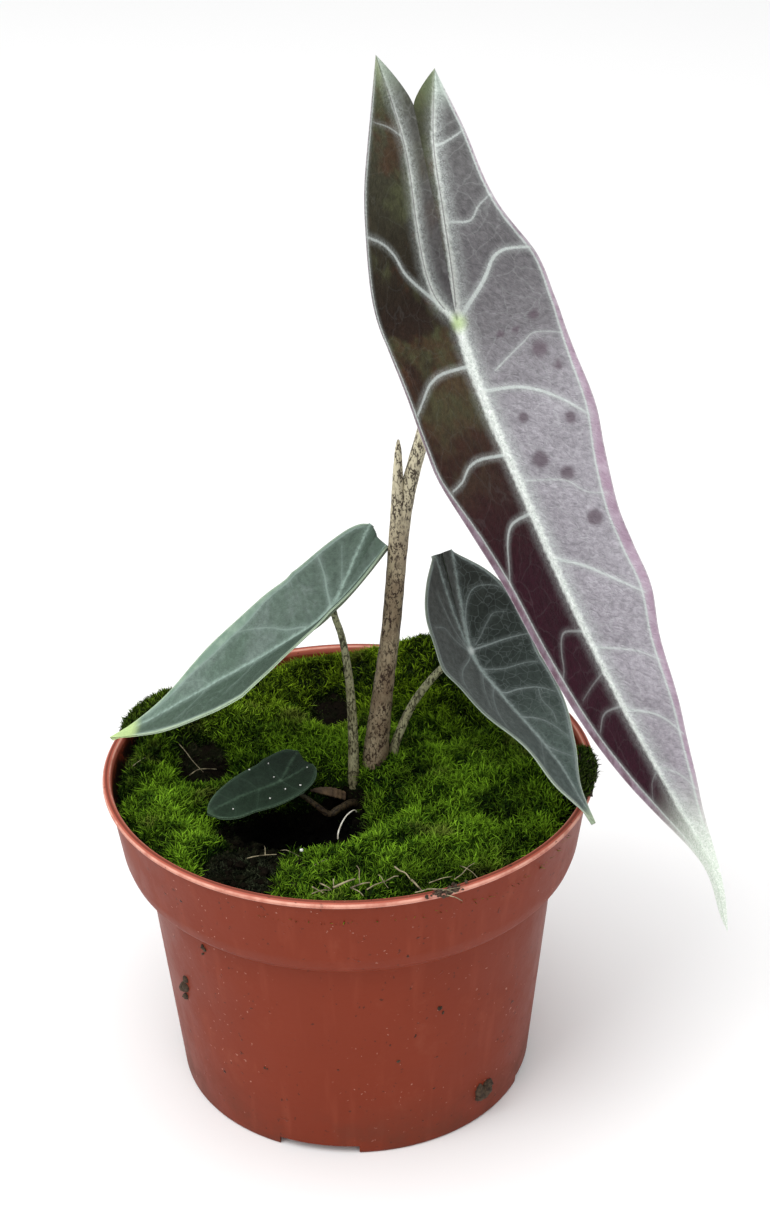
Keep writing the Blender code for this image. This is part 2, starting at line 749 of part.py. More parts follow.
    def lobe(self, side, rows, columns):
        """Grid points of the strip between a lobe's main rib and the spine, notch and inner edge."""
        leaf = self.leaf
        inside = rows[rows[:, 0] <= 0]
        tip_along, tip_across = leaf[side]["rib"][-1]
        before = np.minimum(inside[:, 0] / leaf["turn"], 1)
        after = np.clip((inside[:, 0] - leaf["turn"]) / (tip_along - leaf["turn"]), 0, 1)
        inner_along = self.notch * before + (tip_along - self.notch) * after
        inner_across = tip_across * after**1.3
        c = np.asarray(columns)[None, :]
        rib_along = inside[:, 0:1]
        rib_across = self.rib(side, rib_along)
        along = rib_along + (inner_along[:, None] - rib_along) * c
        share = rib_across + (inner_across[:, None] - rib_across) * c
        across = np.clip(share, 0, self.rib(side, along))
        across = np.where(c == 0, rib_across, np.where(c == 1, inner_across[:, None], across))
        points = self.place(side, along, across, np.zeros_like(across))
        reach = rib_along / tip_along
        rib_thick = (leaf["rib_thickness"] - MARGIN_THICKNESS) * np.clip(1 - reach, 0, 1) ** 0.7
        thickness = MARGIN_THICKNESS + np.where(c == 0, rib_thick, 0)
        return points, thickness


def grid_faces(rows, columns, start, flip):
    faces = []
    for row in range(rows - 1):
        for column in range(columns - 1):
            a = start + row * columns + column
            b = a + columns
            face = (a, b, b + 1, a + 1)
            faces.append(face[::-1] if flip else face)
    return faces


def make_leaf(name, leaf, home, key):
    """One blade: four grids that meet at the ribs, split into triangles and then thickened."""
    blade = Blade(leaf)
    points, thickness, faces = [], [], []
    count = 0
    for side in ("right", "left"):
        outer, outer_thick, rows = blade.half(side, COLUMNS)
        inner, inner_thick = blade.lobe(side, rows, LOBE_COLUMNS)
        left = side == "left"
        for grid, thick, flip in ((outer, outer_thick, left), (inner, inner_thick, not left)):
            faces += grid_faces(grid.shape[0], grid.shape[1], count, flip)
            points.append(grid.reshape(-1, 3))
            thickness.append(np.broadcast_to(thick, grid.shape[:2]).reshape(-1))
            count += grid.shape[0] * grid.shape[1]
    points = np.vstack(points)
    thickness = np.concatenate(thickness)
    mesh = bpy.data.meshes.new(name)
    mesh.from_pydata((points * MM).tolist(), [], faces)
    shape = bmesh.new()
    shape.from_mesh(mesh)
    weights = shape.verts.layers.deform.verify()
    for vertex, thick in zip(shape.verts, thickness):
        vertex[weights][0] = thick / leaf["rib_thickness"]
    bmesh.ops.remove_doubles(shape, verts=shape.verts, dist=0.01 * MM)
    bmesh.ops.recalc_face_normals(shape, faces=shape.faces)
    bmesh.ops.triangulate(shape, faces=shape.faces)
    shape.to_mesh(mesh)
    shape.free()
    obj = place_object(name, mesh, home, key)
    obj.vertex_groups.new(name="thickness")
    solid = obj.modifiers.new("thickness", "SOLIDIFY")
    solid.thickness = leaf["rib_thickness"] * MM
    solid.offset = 0
    solid.vertex_group = "thickness"
    solid.thickness_vertex_group = 0
    shade(obj, 70)


def make_bract(home):
    """A small pointed bract, arched across its width like a half-open husk."""
    line = smooth_curve([(*place, half) for place, half in BRACT], 8)
    turns = np.linspace(-1, 1, 5)
    points = []
    for (x, y, z, half), nxt in zip(line, np.vstack([line[1:], line[-1:]])):
        ahead = nxt[:3] - np.array([x, y, z])
        if not np.any(ahead):
            ahead = line[-1, :3] - line[-2, :3]
        side = unit(np.cross(ahead, (0, 0, 1)))
        up = unit(np.cross(side, ahead))
        for t in turns:
            rise = half * BRACT_ARCH * (1 - t * t)
            points.append(np.array([x, y, z]) + side * half * t + up * rise)
    mesh = bpy.data.meshes.new("cataphyll")
    faces = grid_faces(len(line), len(turns), 0, True)
    mesh.from_pydata((np.array(points) * MM).tolist(), [], faces)
    shape = bmesh.new()
    shape.from_mesh(mesh)
    bmesh.ops.triangulate(shape, faces=shape.faces)
    shape.to_mesh(mesh)
    shape.free()
    bract = place_object("cataphyll", mesh, home, "bract")
    solid = bract.modifiers.new("thickness", "SOLIDIFY")
    solid.thickness = BRACT_THICKNESS * MM
    solid.offset = 1
    shade(bract, 60)


def main():
    clear_scene()
    home = collection("Potted alocasia amazonica")
    cutters = collection("Cutters")
    make_pot(home, cutters)
    make_soil(home, cutters)
    make_moss(home, cutters)
    make_corm(home)
    make_stalks(home, cutters)
    make_leaf("leaf_main", LEAF_MAIN, home, "blade_main")
    make_leaf("leaf_left", LEAF_LEFT, home, "blade")
    make_leaf("leaf_right", LEAF_RIGHT, home, "blade")
    make_leaf("leaf_small", LEAF_SMALL, home, "blade")
    make_bract(home)


main()
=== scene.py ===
"""Looks for the potted Alocasia amazonica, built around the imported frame.

Places and sizes are in millimetres, with +Z up and the origin at the centre of the pot's underside,
and MM turns them into metres. The lights and the object coordinates in materials are in metres.
"""

import math

import bmesh
import bpy
import numpy as np
from mathutils import Matrix, Vector, noise


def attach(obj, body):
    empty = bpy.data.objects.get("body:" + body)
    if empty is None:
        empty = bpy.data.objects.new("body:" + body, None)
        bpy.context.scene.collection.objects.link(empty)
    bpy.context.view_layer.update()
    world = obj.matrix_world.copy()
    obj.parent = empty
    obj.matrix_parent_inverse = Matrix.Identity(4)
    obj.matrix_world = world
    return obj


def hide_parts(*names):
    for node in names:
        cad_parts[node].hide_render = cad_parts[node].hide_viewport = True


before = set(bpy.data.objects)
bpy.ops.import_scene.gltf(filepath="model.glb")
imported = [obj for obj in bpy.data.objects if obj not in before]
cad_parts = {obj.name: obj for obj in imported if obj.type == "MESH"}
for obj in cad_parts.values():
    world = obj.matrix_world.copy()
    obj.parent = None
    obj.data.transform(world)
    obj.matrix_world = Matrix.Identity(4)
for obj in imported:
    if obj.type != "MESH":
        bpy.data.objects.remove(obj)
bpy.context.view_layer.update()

MM = 0.001
SEEDS = {
    "shoots": 40, "rim moss": 61, "crumbs": 7, "clumps": 11, "rim heaps": 12, "stems": 5, "grains": 3,
}

# Camera: place, angles in degrees and focal length in pixels of a picture 1221 pixels high
CAMERA_PLACE = (0, -509.4, 401.5)
CAMERA_YAW = -1.07
CAMERA_PITCH = 28.33
CAMERA_ROLL = -1.07
FOCAL_PIXELS = 2451.1
PICTURE_HEIGHT = 1221
SENSOR = 36

# Lights, with their name, place, aim, size and power, and floor
WORLD_STRENGTH = 0.42
LIGHTS = (
    ("overhead", (-0.2, -0.3, 2.6), (0, 0, 0.1), 3.0, 62),
    ("key", (-1.1, -0.9, 1.5), (0, 0, 0.12), 1.2, 17),
    ("sheen", (0.35, -0.95, 0.55), (0.05, -0.02, 0.16), 0.5, 1.6),
)
FLOOR_HALF = 6000

# Pot
RIM_RADIUS = 60.0
POT_HEIGHT = 85.2
WALL = 0.9
LIP_WIDTH = 2.1
LIP_DEPTH = 1.7
COLLAR_DEPTH = 24.9
WAIST_RADIUS = 50.6
BASE_RADIUS = 44.3
FOOT_HEIGHT = 2.8
FLOOR_THICKNESS = 1.1
FLOOR_MIDDLE = 24.0
POT_STEPS = 168
CORNER_RADIUS = 0.8
SHARP_ANGLE = 35  # degrees between faces from which an edge looks sharp
NOTCHES = 4
NOTCH_WIDTH = 20.0
NOTCH_HEIGHT = 2.4
NOTCH_REACH = 2.5
NOTCH_TURN = -103.0  # degrees from +X to the front notch
DRAIN_HOLES = 8
DRAIN_RADIUS = 3.2
DRAIN_CIRCLE = 33.6
DRAIN_LEVELS = (1.8, 4.9)
# How far inside the rim the lip's dark line of painted groove shade and the painted highlights on its two
# crests run, and how strong the highlights are
LIP_GROOVE_SHADE = 0.95
LIP_CREST_HIGHLIGHTS = ((0.15, 0.8), (1.75, 0.7))
COLLAR_LEVEL = POT_HEIGHT - COLLAR_DEPTH
POT_FLOOR = FOOT_HEIGHT + FLOOR_THICKNESS
# The pot's inner side from under the lip to the middle of the floor, as (radius, height). The
# first points, down to the floor's corner, are its wall.
INNER_WALL = (
    (RIM_RADIUS - 2.3, POT_HEIGHT - LIP_DEPTH - 0.3),
    (RIM_RADIUS - 4.7, COLLAR_LEVEL + 6.5),
    (RIM_RADIUS - 5.7, COLLAR_LEVEL + 3.9),
    (RIM_RADIUS - 7.6, COLLAR_LEVEL + 1.8),
    (WAIST_RADIUS - WALL, COLLAR_LEVEL + 0.9),
    (WAIST_RADIUS - WALL - 0.1, COLLAR_LEVEL - 1.1),
    (BASE_RADIUS - 0.3, POT_FLOOR + 1.4),
    (BASE_RADIUS - 1.4, POT_FLOOR),
    (FLOOR_MIDDLE + 2.0, POT_FLOOR),
    (FLOOR_MIDDLE, FLOOR_THICKNESS),
    (0, FLOOR_THICKNESS),
)
WALL_POINTS = 7
# Its outer side from the lip to the middle of the underside. The wall runs from the end of the
# lip's points to the foot.
OUTER_WALL = (
    (RIM_RADIUS - LIP_WIDTH, POT_HEIGHT - 0.7),
    (RIM_RADIUS - LIP_WIDTH + 0.6, POT_HEIGHT),
    (RIM_RADIUS - 0.7, POT_HEIGHT),
    (RIM_RADIUS, POT_HEIGHT - 0.7),
    (RIM_RADIUS, POT_HEIGHT - LIP_DEPTH + 0.4),
    (RIM_RADIUS - 0.5, POT_HEIGHT - LIP_DEPTH),
    (RIM_RADIUS - 1.3, POT_HEIGHT - LIP_DEPTH - 0.3),
    (RIM_RADIUS - 3.8, COLLAR_LEVEL + 6.2),
    (RIM_RADIUS - 4.8, COLLAR_LEVEL + 3.2),
    (RIM_RADIUS - 7.1, COLLAR_LEVEL + 0.9),
    (WAIST_RADIUS, COLLAR_LEVEL),
    (WAIST_RADIUS - 0.2, COLLAR_LEVEL - 1.2),
    (BASE_RADIUS + 0.3, NOTCH_HEIGHT + 1.2),
    (BASE_RADIUS, 0.5),
    (BASE_RADIUS - 0.4, 0),
    (BASE_RADIUS - 1.4, 0),
    (BASE_RADIUS - 1.6, FOOT_HEIGHT),
    (FLOOR_MIDDLE + 1.4, FOOT_HEIGHT),
    (FLOOR_MIDDLE - 0.6, 0),
    (0, 0),
)
LIP_POINTS = 4
FOOT_POINT = 14

# Soil and moss
SOIL_LEVEL = 77.5
SOIL_RADIUS = 56.4
SOIL_GAP = 0.3  # between the soil's plain body and the pot's wall
# Levels of that body's rings down the wall, the last one for its floor
SOIL_LEVELS = (72, 66, 62.5, 61, 40, 20, POT_FLOOR + 1.6, POT_FLOOR + 0.3)
MOSS_THICKNESS = 5.0
MOSS_EDGE = 0.9
MOSS_TAPER = 7.0  # how far from its edge the mat is still thinner
MOSS_LIFT = 0.6
SOIL_RISES = (  # middle x, y, half sizes along x and y, height
    (6, 4, 12, 12, 3.0), (24, 46, 17, 12, 12.0), (-8, 54, 24, 9, 3.2), (-45, 30, 15, 15, 6.5),
    (50, -4, 12, 22, 4.5), (-13, -14, 17, 9.5, -7.5), (-1, -7, 4, 4, -3.0),
)
BARE_PATCHES = (  # middle x, y, half sizes, turn in degrees
    (-14, -17, 19, 12, 0), (-20, -40, 15, 17, 20), (-36, 10, 6.5, 9, 0), (-4, 35, 6, 8, 15),
    (-1.5, -6, 5, 5, 0), (46, -40, 17, 4.5, 48),
)
# Ovals on the ground as middle x, y and half sizes: where its bare soil has no shoots, where they
# are short and grey, and where no crumbs lie
HOLLOW = (-13, -15, 15, 9)
MATTED_PATCH = (-21, -39, 16, 14)
PITS = ((-36, 10, 9, 12), (-4, 35, 8, 10))
# Lush moss over the front patch: its left edge at its back edge, its back edge and its slant
OVERGROWN = (-14.5, -24, 0.2)
MAT_DROP = 2.2  # how far the mat's foot lies under the top of the shoots
MAP_HALF = 60  # half size of the maps of heights
# Rings of points and points of a ring on the soil's surface and on the mat
SHEET_RINGS = 72
SHEET_STEPS = 220
MAT_RINGS = 84
MAT_STEPS = 260

# Moss shoots
SHOOT_BATCHES = 3
SHOOTS_EACH = 55000
SHOOT_HEIGHT = (1.1, 2.7)
SHOOT_WIDTH = (0.24, 0.46)
TUFTS = 5200
TUFT_SPREAD = 0.62
PATCH_CHANCE = 0.95  # that a shoot tried on the front patch grows
BARE_CHANCE = 0.06  # and one on other bare soil

# Stalks: points of the centre line from foot to blade, and radii there
STALK_MAIN = (
    ((5.9, 2.7, 74.3), 3.3), ((6.5, 2.8, 84), 3.2), ((8.7, 3, 103), 2.5),
    ((11.2, 3.2, 122.5), 2.25), ((13, 3.4, 141), 2.15), ((14.9, 3.4, 154), 1.9),
    ((18.3, 3, 168), 1.7), ((22.9, 2.2, 184.5), 1.6), ((25.6, 0, 196), 1.5),
    ((26.3, -2.6, 200.2), 1.5),
)
SHEATH_TIP = (
    ((9.6, 2.6, 118), 1.2), ((11.6, 2.9, 133), 1.8), ((12.4, 2.9, 143), 1.8),
    ((12.9, 2.7, 152), 1.6), ((13.1, 2.3, 161), 1.2), ((13.25, 1.95, 167), 0.8),
    ((13.3, 1.75, 170), 0.3),
)
STALK_LEFT = (
    ((0.9, -0.5, 74.3), 1.45), ((1.2, 0, 92.5), 1.25), ((0.6, 0.5, 108), 1.0),
    ((-0.7, 0.3, 119), 0.85), ((-2.2, -0.2, 125), 0.8), ((-2.6, -0.8, 127.2), 0.8),
)
STALK_RIGHT = (
    ((10.8, 3.9, 74.3), 1.2), ((10.9, 3.9, 84), 1.2), ((12.4, 4.2, 90), 1.1), ((16.5, 5, 99), 1.0),
    ((23, 4.5, 108), 0.9), ((28.9, 2.2, 113), 0.85),
)
STALK_SMALL = (
    ((1.8, -3.4, 75.2), 1.0), ((0, -6, 77.0), 0.95), ((-3, -9.3, 77.4), 0.9),
    ((-5.2, -10.8, 77.2), 0.8), ((-8.5, -11, 80.2), 0.7), ((-11.6, -10.7, 82.8), 0.65),
    ((-16, -9.7, 85.3), 0.6),
)
STALK_SIDES = 18
# The husk at the small stalk's foot: points of its centre line, and its half width there
BRACT = (
    ((-1.9, -3.4, 77.0), 1.5), ((-4.4, -4.6, 78.8), 1.6), ((-7.2, -5.6, 80.2), 1.1),
    ((-9.6, -6.2, 80.9), 0.15),
)
BRACT_GRID = (36, 17)  # rows along it and columns across it
BRACT_THICKNESS = 0.35

# Blades: the form is the solid's own. "Along" runs on the spine from the stalk's joint to the tip,
# and "across" on the surface from the spine. What the tables say of a blade:
# spine, joint: its points from the notch to the tip, and which of them is the stalk's joint
# facing: the way the upper face looks
# pleat: degrees of the slope between a lobe's rib and the spine
# turn: the place along a lobe's rib that lies across from the notch
# rows: where a row of points leaves the rib, and where it ends on the right and the left edge
# puff, ripple: how far it swells between veins, and the height and length of the margin's waves
# spacing: distance of its points
# rib_width, rim_vein: at the joint, the tip and a lobe's end, and half the outer vein's width
# pale: where the pale tip starts and ends, as shares of the length, and how pale the lobes end
# thickness: at the margin, and how much more below the ribs
# And of each half:
# fold, inset: degrees it rises, and how far inside the edge its outer vein runs, both by along
# rib, edge: points of the lobe's rib, and of the edge from the tip to the end of the lobe
# lobe_share: how clear the rib's colour is on the lobe
# veins: the width and the points of each
ROW_BOW = 1.6  # how much the rows of points bend on their way to the edge
LOBE_COLUMNS = 14
SPINE_STOPS = 400
EDGE_STOPS = 300
RIB_STOPS = 60
FREE_WIDTH = 6  # a half this wide is fully puffed and waved
WELD = 0.003  # points this close become one
# How far the ribs and veins rise above the upper face, and the veins below the lower one
RIB_RISE = 0.28
VEIN_RISE = 0.16
VEIN_DROP = 0.22
# Which half a place takes its colours from, from 0 for the left to 1 for the right: on the half itself and
# on the strip of its lobe. The left lobe's strip takes two thirds of the right half's colour; on the large
# blade that is painted light, for the way the strip faces.
SIDE_SHARES = {"right": (1.0, 0.0), "left": (0.0, 0.66)}
# Round dark spots on the large blade's right half: along, across, radius
SPOTS = (
    (2.8, 17.2, 1.5), (12.2, 16.2, 2.2), (17, 18.8, 1.3), (25, 7, 1.4), (29, 16.8, 1.6),
    (34.8, 6.8, 2.3), (39.8, 11.2, 2.0), (51, 13, 2.2), (5.5, 12.5, 1.0), (5.5, 8.8, 1.1),
)
LEAF_MAIN = {
    "spine": (
        (18, 12, 244), (22, 1, 224.5), (26.5, -5, 201), (31, -12, 187.5), (38, -19.5, 171.5),
        (50, -30, 144.5), (61, -38, 122.5), (72, -44, 102.5), (81.5, -48, 84.5), (86, -50, 67.5),
    ),
    "joint": 2,
    "facing": (0, -0.93, 0.37),
    "spots": {"right": SPOTS},
    "pleat": 45,
    "turn": -42,
    "rows": (
        (132, 137, 138), (113, 121, 121), (95, 105, 103), (77, 88, 87), (58, 71, 69), (37, 49, 46),
        (16, 29, 28), (0, -12, -10), (-7, -19, -27), (-16, -27, -33), (-24, -34, -39), (-34, -42, -45),
    ),
    "puff": 0.6,
    "ripple": (0.7, 23),
    "spacing": 0.62,
    "rib_width": (2.9, 0.8, 0.8),
    "rim_vein": 0.22,
    "pale": (0.72, 0.88, 0.6),
    "thickness": (0.5, 1.5),
    "right": {
        "fold": ((0, 20),),
        "lobe_share": 0.95,
        "rib": ((0, 0), (-10, 1.5), (-25, 2.5), (-40, 4), (-55.5, 9)),
        "edge": (
            (148, 1), (136, 2), (124, 4.5), (112, 8), (98, 12), (82, 15.2), (70, 18.4), (60, 18.7),
            (50, 18.9), (38, 21.2), (28, 23.3), (15, 23.5), (0, 23), (-12, 21.5), (-25, 14.5), (-40, 11.5),
        ),
        "inset": (
            (-50, 0.5), (-12, 0.8), (10, 1.3), (40, 2.7), (60, 2.6), (85, 1.9), (120, 1.0), (148, 0.3),
        ),
        "veins": (
            (0.6, (-38.5, 3), (-39, 7), (-40.5, 12)),
            (0.5, (-22, 3), (-21.5, 8), (-24, 10.5), (-26, 14)),
            (1.1, (-1, 1), (-8, 8), (-13, 11.5), (-14.5, 15), (-14, 21)),
            (0.35, (13, 5), (9.5, 13), (8, 16.5), (11, 23)),
            (0.9, (16, 0), (18, 8), (21, 13), (25, 17), (30, 21)),
            (0.35, (38, 2), (41, 10), (45, 13.5), (47, 18)),
            (0.8, (56, 0), (60, 6), (64.5, 10.5), (71, 16.5)),
            (0.5, (78, 0), (82.5, 8.5), (87, 13)),
            (0.6, (94, 0), (97, 5), (100, 7.5), (105, 9.5)),
            (0.4, (109, 0), (113, 4), (118, 6)),
            (0.35, (124, 0), (127, 2.5), (130, 3.5)),
        ),
    },
    "left": {
        "fold": ((0, 50),),
        "lobe_share": 0.7,
        "rib": ((0, 0), (-8, 5.5), (-20, 6.5), (-40, 5), (-61, 8)),
        "edge": (
            (148, 1.5), (138, 2), (130, 3.6), (118, 7.8), (104, 12.5), (88, 15.8), (70, 17.8), (56, 19.2),
            (42, 22.4), (30, 25.3), (22, 25), (12, 24.6), (0, 26), (-12, 26.5), (-26, 23.5), (-40, 17.5),
        ),
        "inset": ((-50, 0.5), (0, 0.6), (30, 1.1), (44, 2.3), (104, 2.3), (120, 1.6), (140, 0.4)),
        "veins": (
            (0.4, (-42, 5), (-44, 9), (-45, 14)),
            (0.9, (-5, 4.5), (-13, 13), (-18, 16), (-21, 19.5), (-23, 25)),
            (0.8, (10, 0), (10.5, 10), (12, 15.5), (14, 19), (17, 24)),
            (0.75, (31, 0), (29.5, 9), (30, 14), (32, 18), (33, 23)),
            (0.75, (45, 0), (45, 8), (48, 12), (52, 14.5), (56, 17)),
            (0.6, (74, 0), (71.5, 7), (74.5, 10.5), (78, 12.5), (80, 15)),
            (0.4, (84, 0), (85, 7), (86, 12)),
            (0.6, (93, 0), (91.5, 7), (94, 11.5)),
            (0.35, (110, 0), (111, 4), (114, 7)),
        ),
    },
}
LEAF_LEFT = {
    "spine": (
        (8.6, 8, 142), (-3, -1, 128), (-14.5, -2, 119.5), (-32, 0.5, 107.5), (-48, 3, 96.5),
        (-58, 4.5, 91),
    ),
    "joint": 1,
    "facing": (-0.56, -0.25, 0.79),
    "pleat": 12,
    "turn": -15,
    "rows": ((52, 56, 56), (39, 45, 45), (26, 33, 33), (13, 20, 20), (0, -3, -3), (-8, -12, -13)),
    "puff": 0.35,
    "ripple": (0.08, 19),
    "spacing": 0.45,
    "rib_width": (1.3, 0.5, 0.4),
    "rim_vein": 0.2,
    "pale": (0.85, 0.91, 0.0),
    "thickness": (0.45, 0.9),
    "right": {
        "fold": ((-20, 36), (0, 36), (6, 34), (24, 18), (67, 17)),
        "rib": ((0, 0), (-12, 3), (-19.5, 4.5)),
        "edge": (
            (60, 3.5), (50, 9), (40, 13), (30, 15), (18, 15), (6, 13.5), (-6, 12), (-13, 9.8), (-18, 7.2),
        ),
        "inset": ((-20, 0.7), (10, 1.1), (50, 1.0), (62, 0.3)),
        "veins": (
            (0.25, (22, 0), (25, 4), (30, 8)),
            (0.25, (37, 0), (40, 3.5), (45, 7)),
        ),
    },
    "left": {
        "fold": ((-20, 26), (0, 26), (30, 18), (67, 17)),
        "rib": ((0, 0), (-12, 3), (-22.5, 5.5)),
        "edge": (
            (60, 1.5), (50, 4), (40, 8), (30, 11.5), (20, 13.5), (10, 14.5), (0, 14.5), (-10, 13),
            (-17, 10.5), (-21, 8),
        ),
        "inset": ((-22, 0.8), (10, 1.2), (16, 1.7), (23, 2.9), (34, 2.9), (42, 1.8), (52, 1.0), (62, 0.3)),
        "veins": (
            (0.6, (-0.5, 0.8), (-3, 4.2), (-5.8, 7), (-8.2, 10), (-10, 12.5)),
            (0.5, (7, 0), (8.5, 1.2), (12.5, 2.8), (16, 5.5), (20.2, 7.5), (23.5, 8.8), (26, 9.4)),
            (0.25, (-6, 2), (-11, 5.5), (-15, 8.5)),
            (0.2, (36, 0), (39, 3), (44, 4.5)),
        ),
    },
}
LEAF_RIGHT = {
    "spine": (
        (23.1, 14.9, 133.8), (29.5, 2, 114), (36.5, -8, 107), (47, -23, 100), (53, -31, 92.5),
        (56.5, -34, 87.5),
    ),
    "joint": 1,
    "facing": (0.47, -0.28, 0.84),
    "pleat": 12,
    "turn": -18,
    "rows": ((40, 45, 45), (30, 36, 36), (20, 27, 27), (10, 17, 17), (0, -2, -2), (-9, -13, -13)),
    "puff": 0.4,
    "ripple": (0.3, 17),
    "spacing": 0.45,
    "rib_width": (1.5, 0.5, 0.35),
    "rim_vein": 0.2,
    "pale": (0.9, 0.98, 0.0),
    "thickness": (0.45, 0.9),
    "right": {
        "fold": ((0, 19),),
        "rib": ((0, 0), (-12, 2), (-25, 4)),
        "edge": (
            (49, 1), (42, 3), (34, 7), (26, 11.5), (18, 14), (10, 16), (0, 17), (-10, 16), (-18, 11.5),
        ),
        "inset": ((-25, 0.5), (0, 0.7), (30, 0.7), (50, 0.3)),
        "veins": (
            (0.4, (31, 0), (34, 1.8), (37.8, 5)),
            (0.45, (21.5, 0), (24, 3.5), (27.2, 5.5), (32.2, 6.8)),
            (0.6, (12.5, 0), (14, 1.5), (14.5, 4.8), (16.2, 9.2), (19.5, 12)),
            (0.3, (16.5, 9.2), (20, 7.8), (24.2, 8), (27.2, 6.8)),
            (0.4, (5, 0), (6.2, 2), (8, 6), (8.8, 10.8), (10.2, 14.8)),
            (0.7, (0, 0), (0, 5.5), (0, 10.2), (0.5, 15), (1, 17)),
            (0.5, (-1, 0.3), (-4, 1), (-9.2, 2.5), (-13.2, 4.8), (-14.8, 7.5), (-14.2, 11.5),
             (-12.8, 13.8)),
            (0.3, (-1, 2), (-3, 4.5), (-5.5, 7), (-7.5, 9.8), (-7, 13)),
        ),
    },
    "left": {
        "fold": ((0, 19),),
        "rib": ((0, 0), (-12, 1.5), (-24.5, 2)),
        "edge": (
            (49, 2), (42, 7), (34, 9.5), (26, 13.5), (18, 16.5), (10, 17), (0, 16.5), (-10, 14.5),
            (-18, 10),
        ),
        "inset": ((-24, 0.5), (0, 0.7), (30, 0.6), (50, 0.3)),
        "veins": (
            (0.35, (30, 0), (33, 3), (37, 7)),
            (0.45, (11.2, 0), (15.2, 4.8), (21.2, 8.8), (26.5, 10.5)),
            (0.35, (6.5, 0), (7.5, 1), (13, 6.2), (19.5, 10)),
            (0.5, (0.5, 0.5), (2.2, 2.2), (6, 8.8), (12, 13.8), (15.5, 14.5)),
            (0.4, (0, 1), (-3.2, 5.2), (-6.5, 8), (-7.2, 12.8)),
            (0.45, (-0.2, 0.5), (-5.8, 3.5), (-11, 5), (-15.2, 6.2)),
        ),
    },
}
LEAF_SMALL = {
    "spine": ((-11, -3, 87.5), (-16.5, -9.5, 86), (-26, -14, 84.8), (-34, -19, 83.5)),
    "joint": 1,
    "facing": (0, -0.28, 0.96),
    "pleat": 8,
    "turn": -6.5,
    "rows": ((13, 15, 15), (6, 9, 9), (0, -1, -1)),
    "puff": 0.2,
    "ripple": (0.12, 9),
    "spacing": 0.28,
    "rib_width": (0.6, 0.25, 0.2),
    "rim_vein": 0.1,
    "pale": (0.9, 1.0, 0.0),
    "thickness": (0.4, 0.4),
    "right": {
        "fold": ((0, 8),),
        "rib": ((0, 0), (-4, 1), (-9, 2.5)),
        "edge": ((18.5, 3.5), (16, 5.5), (12, 6.5), (6, 7), (0, 7), (-5, 6.2), (-8, 4.4)),
        "inset": ((-10, 0.6), (19, 0.4)),
        "veins": (
            (0.2, (13, 0), (14, 3), (15, 5)),
            (0.2, (6, 0), (7.5, 3.5), (9.5, 6.5)),
            (0.25, (0, 0), (-0.5, 4), (-1, 7)),
        ),
    },
    "left": {
        "fold": ((0, 8),),
        "rib": ((0, 0), (-4, 1.5), (-10.5, 3)),
        "edge": ((18.5, 2), (16, 3.5), (12, 5), (6, 6.5), (0, 7.5), (-5, 7.3), (-8.8, 5.6)),
        "inset": ((-10, 0.6), (19, 0.4)),
        "veins": (
            (0.2, (13, 0), (14, 2), (15, 4)),
            (0.2, (6, 0), (7.5, 3.5), (9.5, 5.5)),
            (0.25, (0, 0), (-0.5, 4), (-1, 7)),
        ),
    },
}
# The fields that tell of the nearest side vein, and their values where there is none
VEIN_FIELDS = (("vein", 9.0), ("vein_side", 3.0), ("vein_mid", 0.0), ("vein_half", 0.0))

# Small grains on the small blade: half, along, across, radius before they are scaled
LEAF_GRAINS = (
    ("left", -1.2, 5.8, 0.32), ("left", 5.8, 6.2, 0.3), ("left", 0.8, 1.8, 0.25),
    ("right", -7.2, 2.2, 0.3), ("right", -1.8, 4.8, 0.32), ("right", 0.8, 3.2, 0.3),
    ("right", 4.8, 4.2, 0.3), ("right", 14.5, 2.8, 0.35),
)
LEAF_GRAIN_LIFT = 0.35
LEAF_GRAIN_SCALE = 0.62

# Loose crumbs on bare soil, and thin threads with the middle and sizes of their field
CRUMBS = 420
CRUMB_TRIES = 9000
THREADS = 5
THREAD_FIELD = (-22, -36, 26, 22)
# Soil that sticks to the pot: azimuth in degrees, height, radius
POT_CLUMPS = (
    (-149, 37.5, 1.7), (-148, 40.5, 1.1), (-150, 34.5, 1.2), (-135, 56.5, 1.0), (-136, 54.5, 0.7),
    (-47, 9.5, 2.6), (-66, 43.5, 0.8), (-65, 42, 0.5), (-118, 25, 0.6), (-78, 30, 0.6),
)
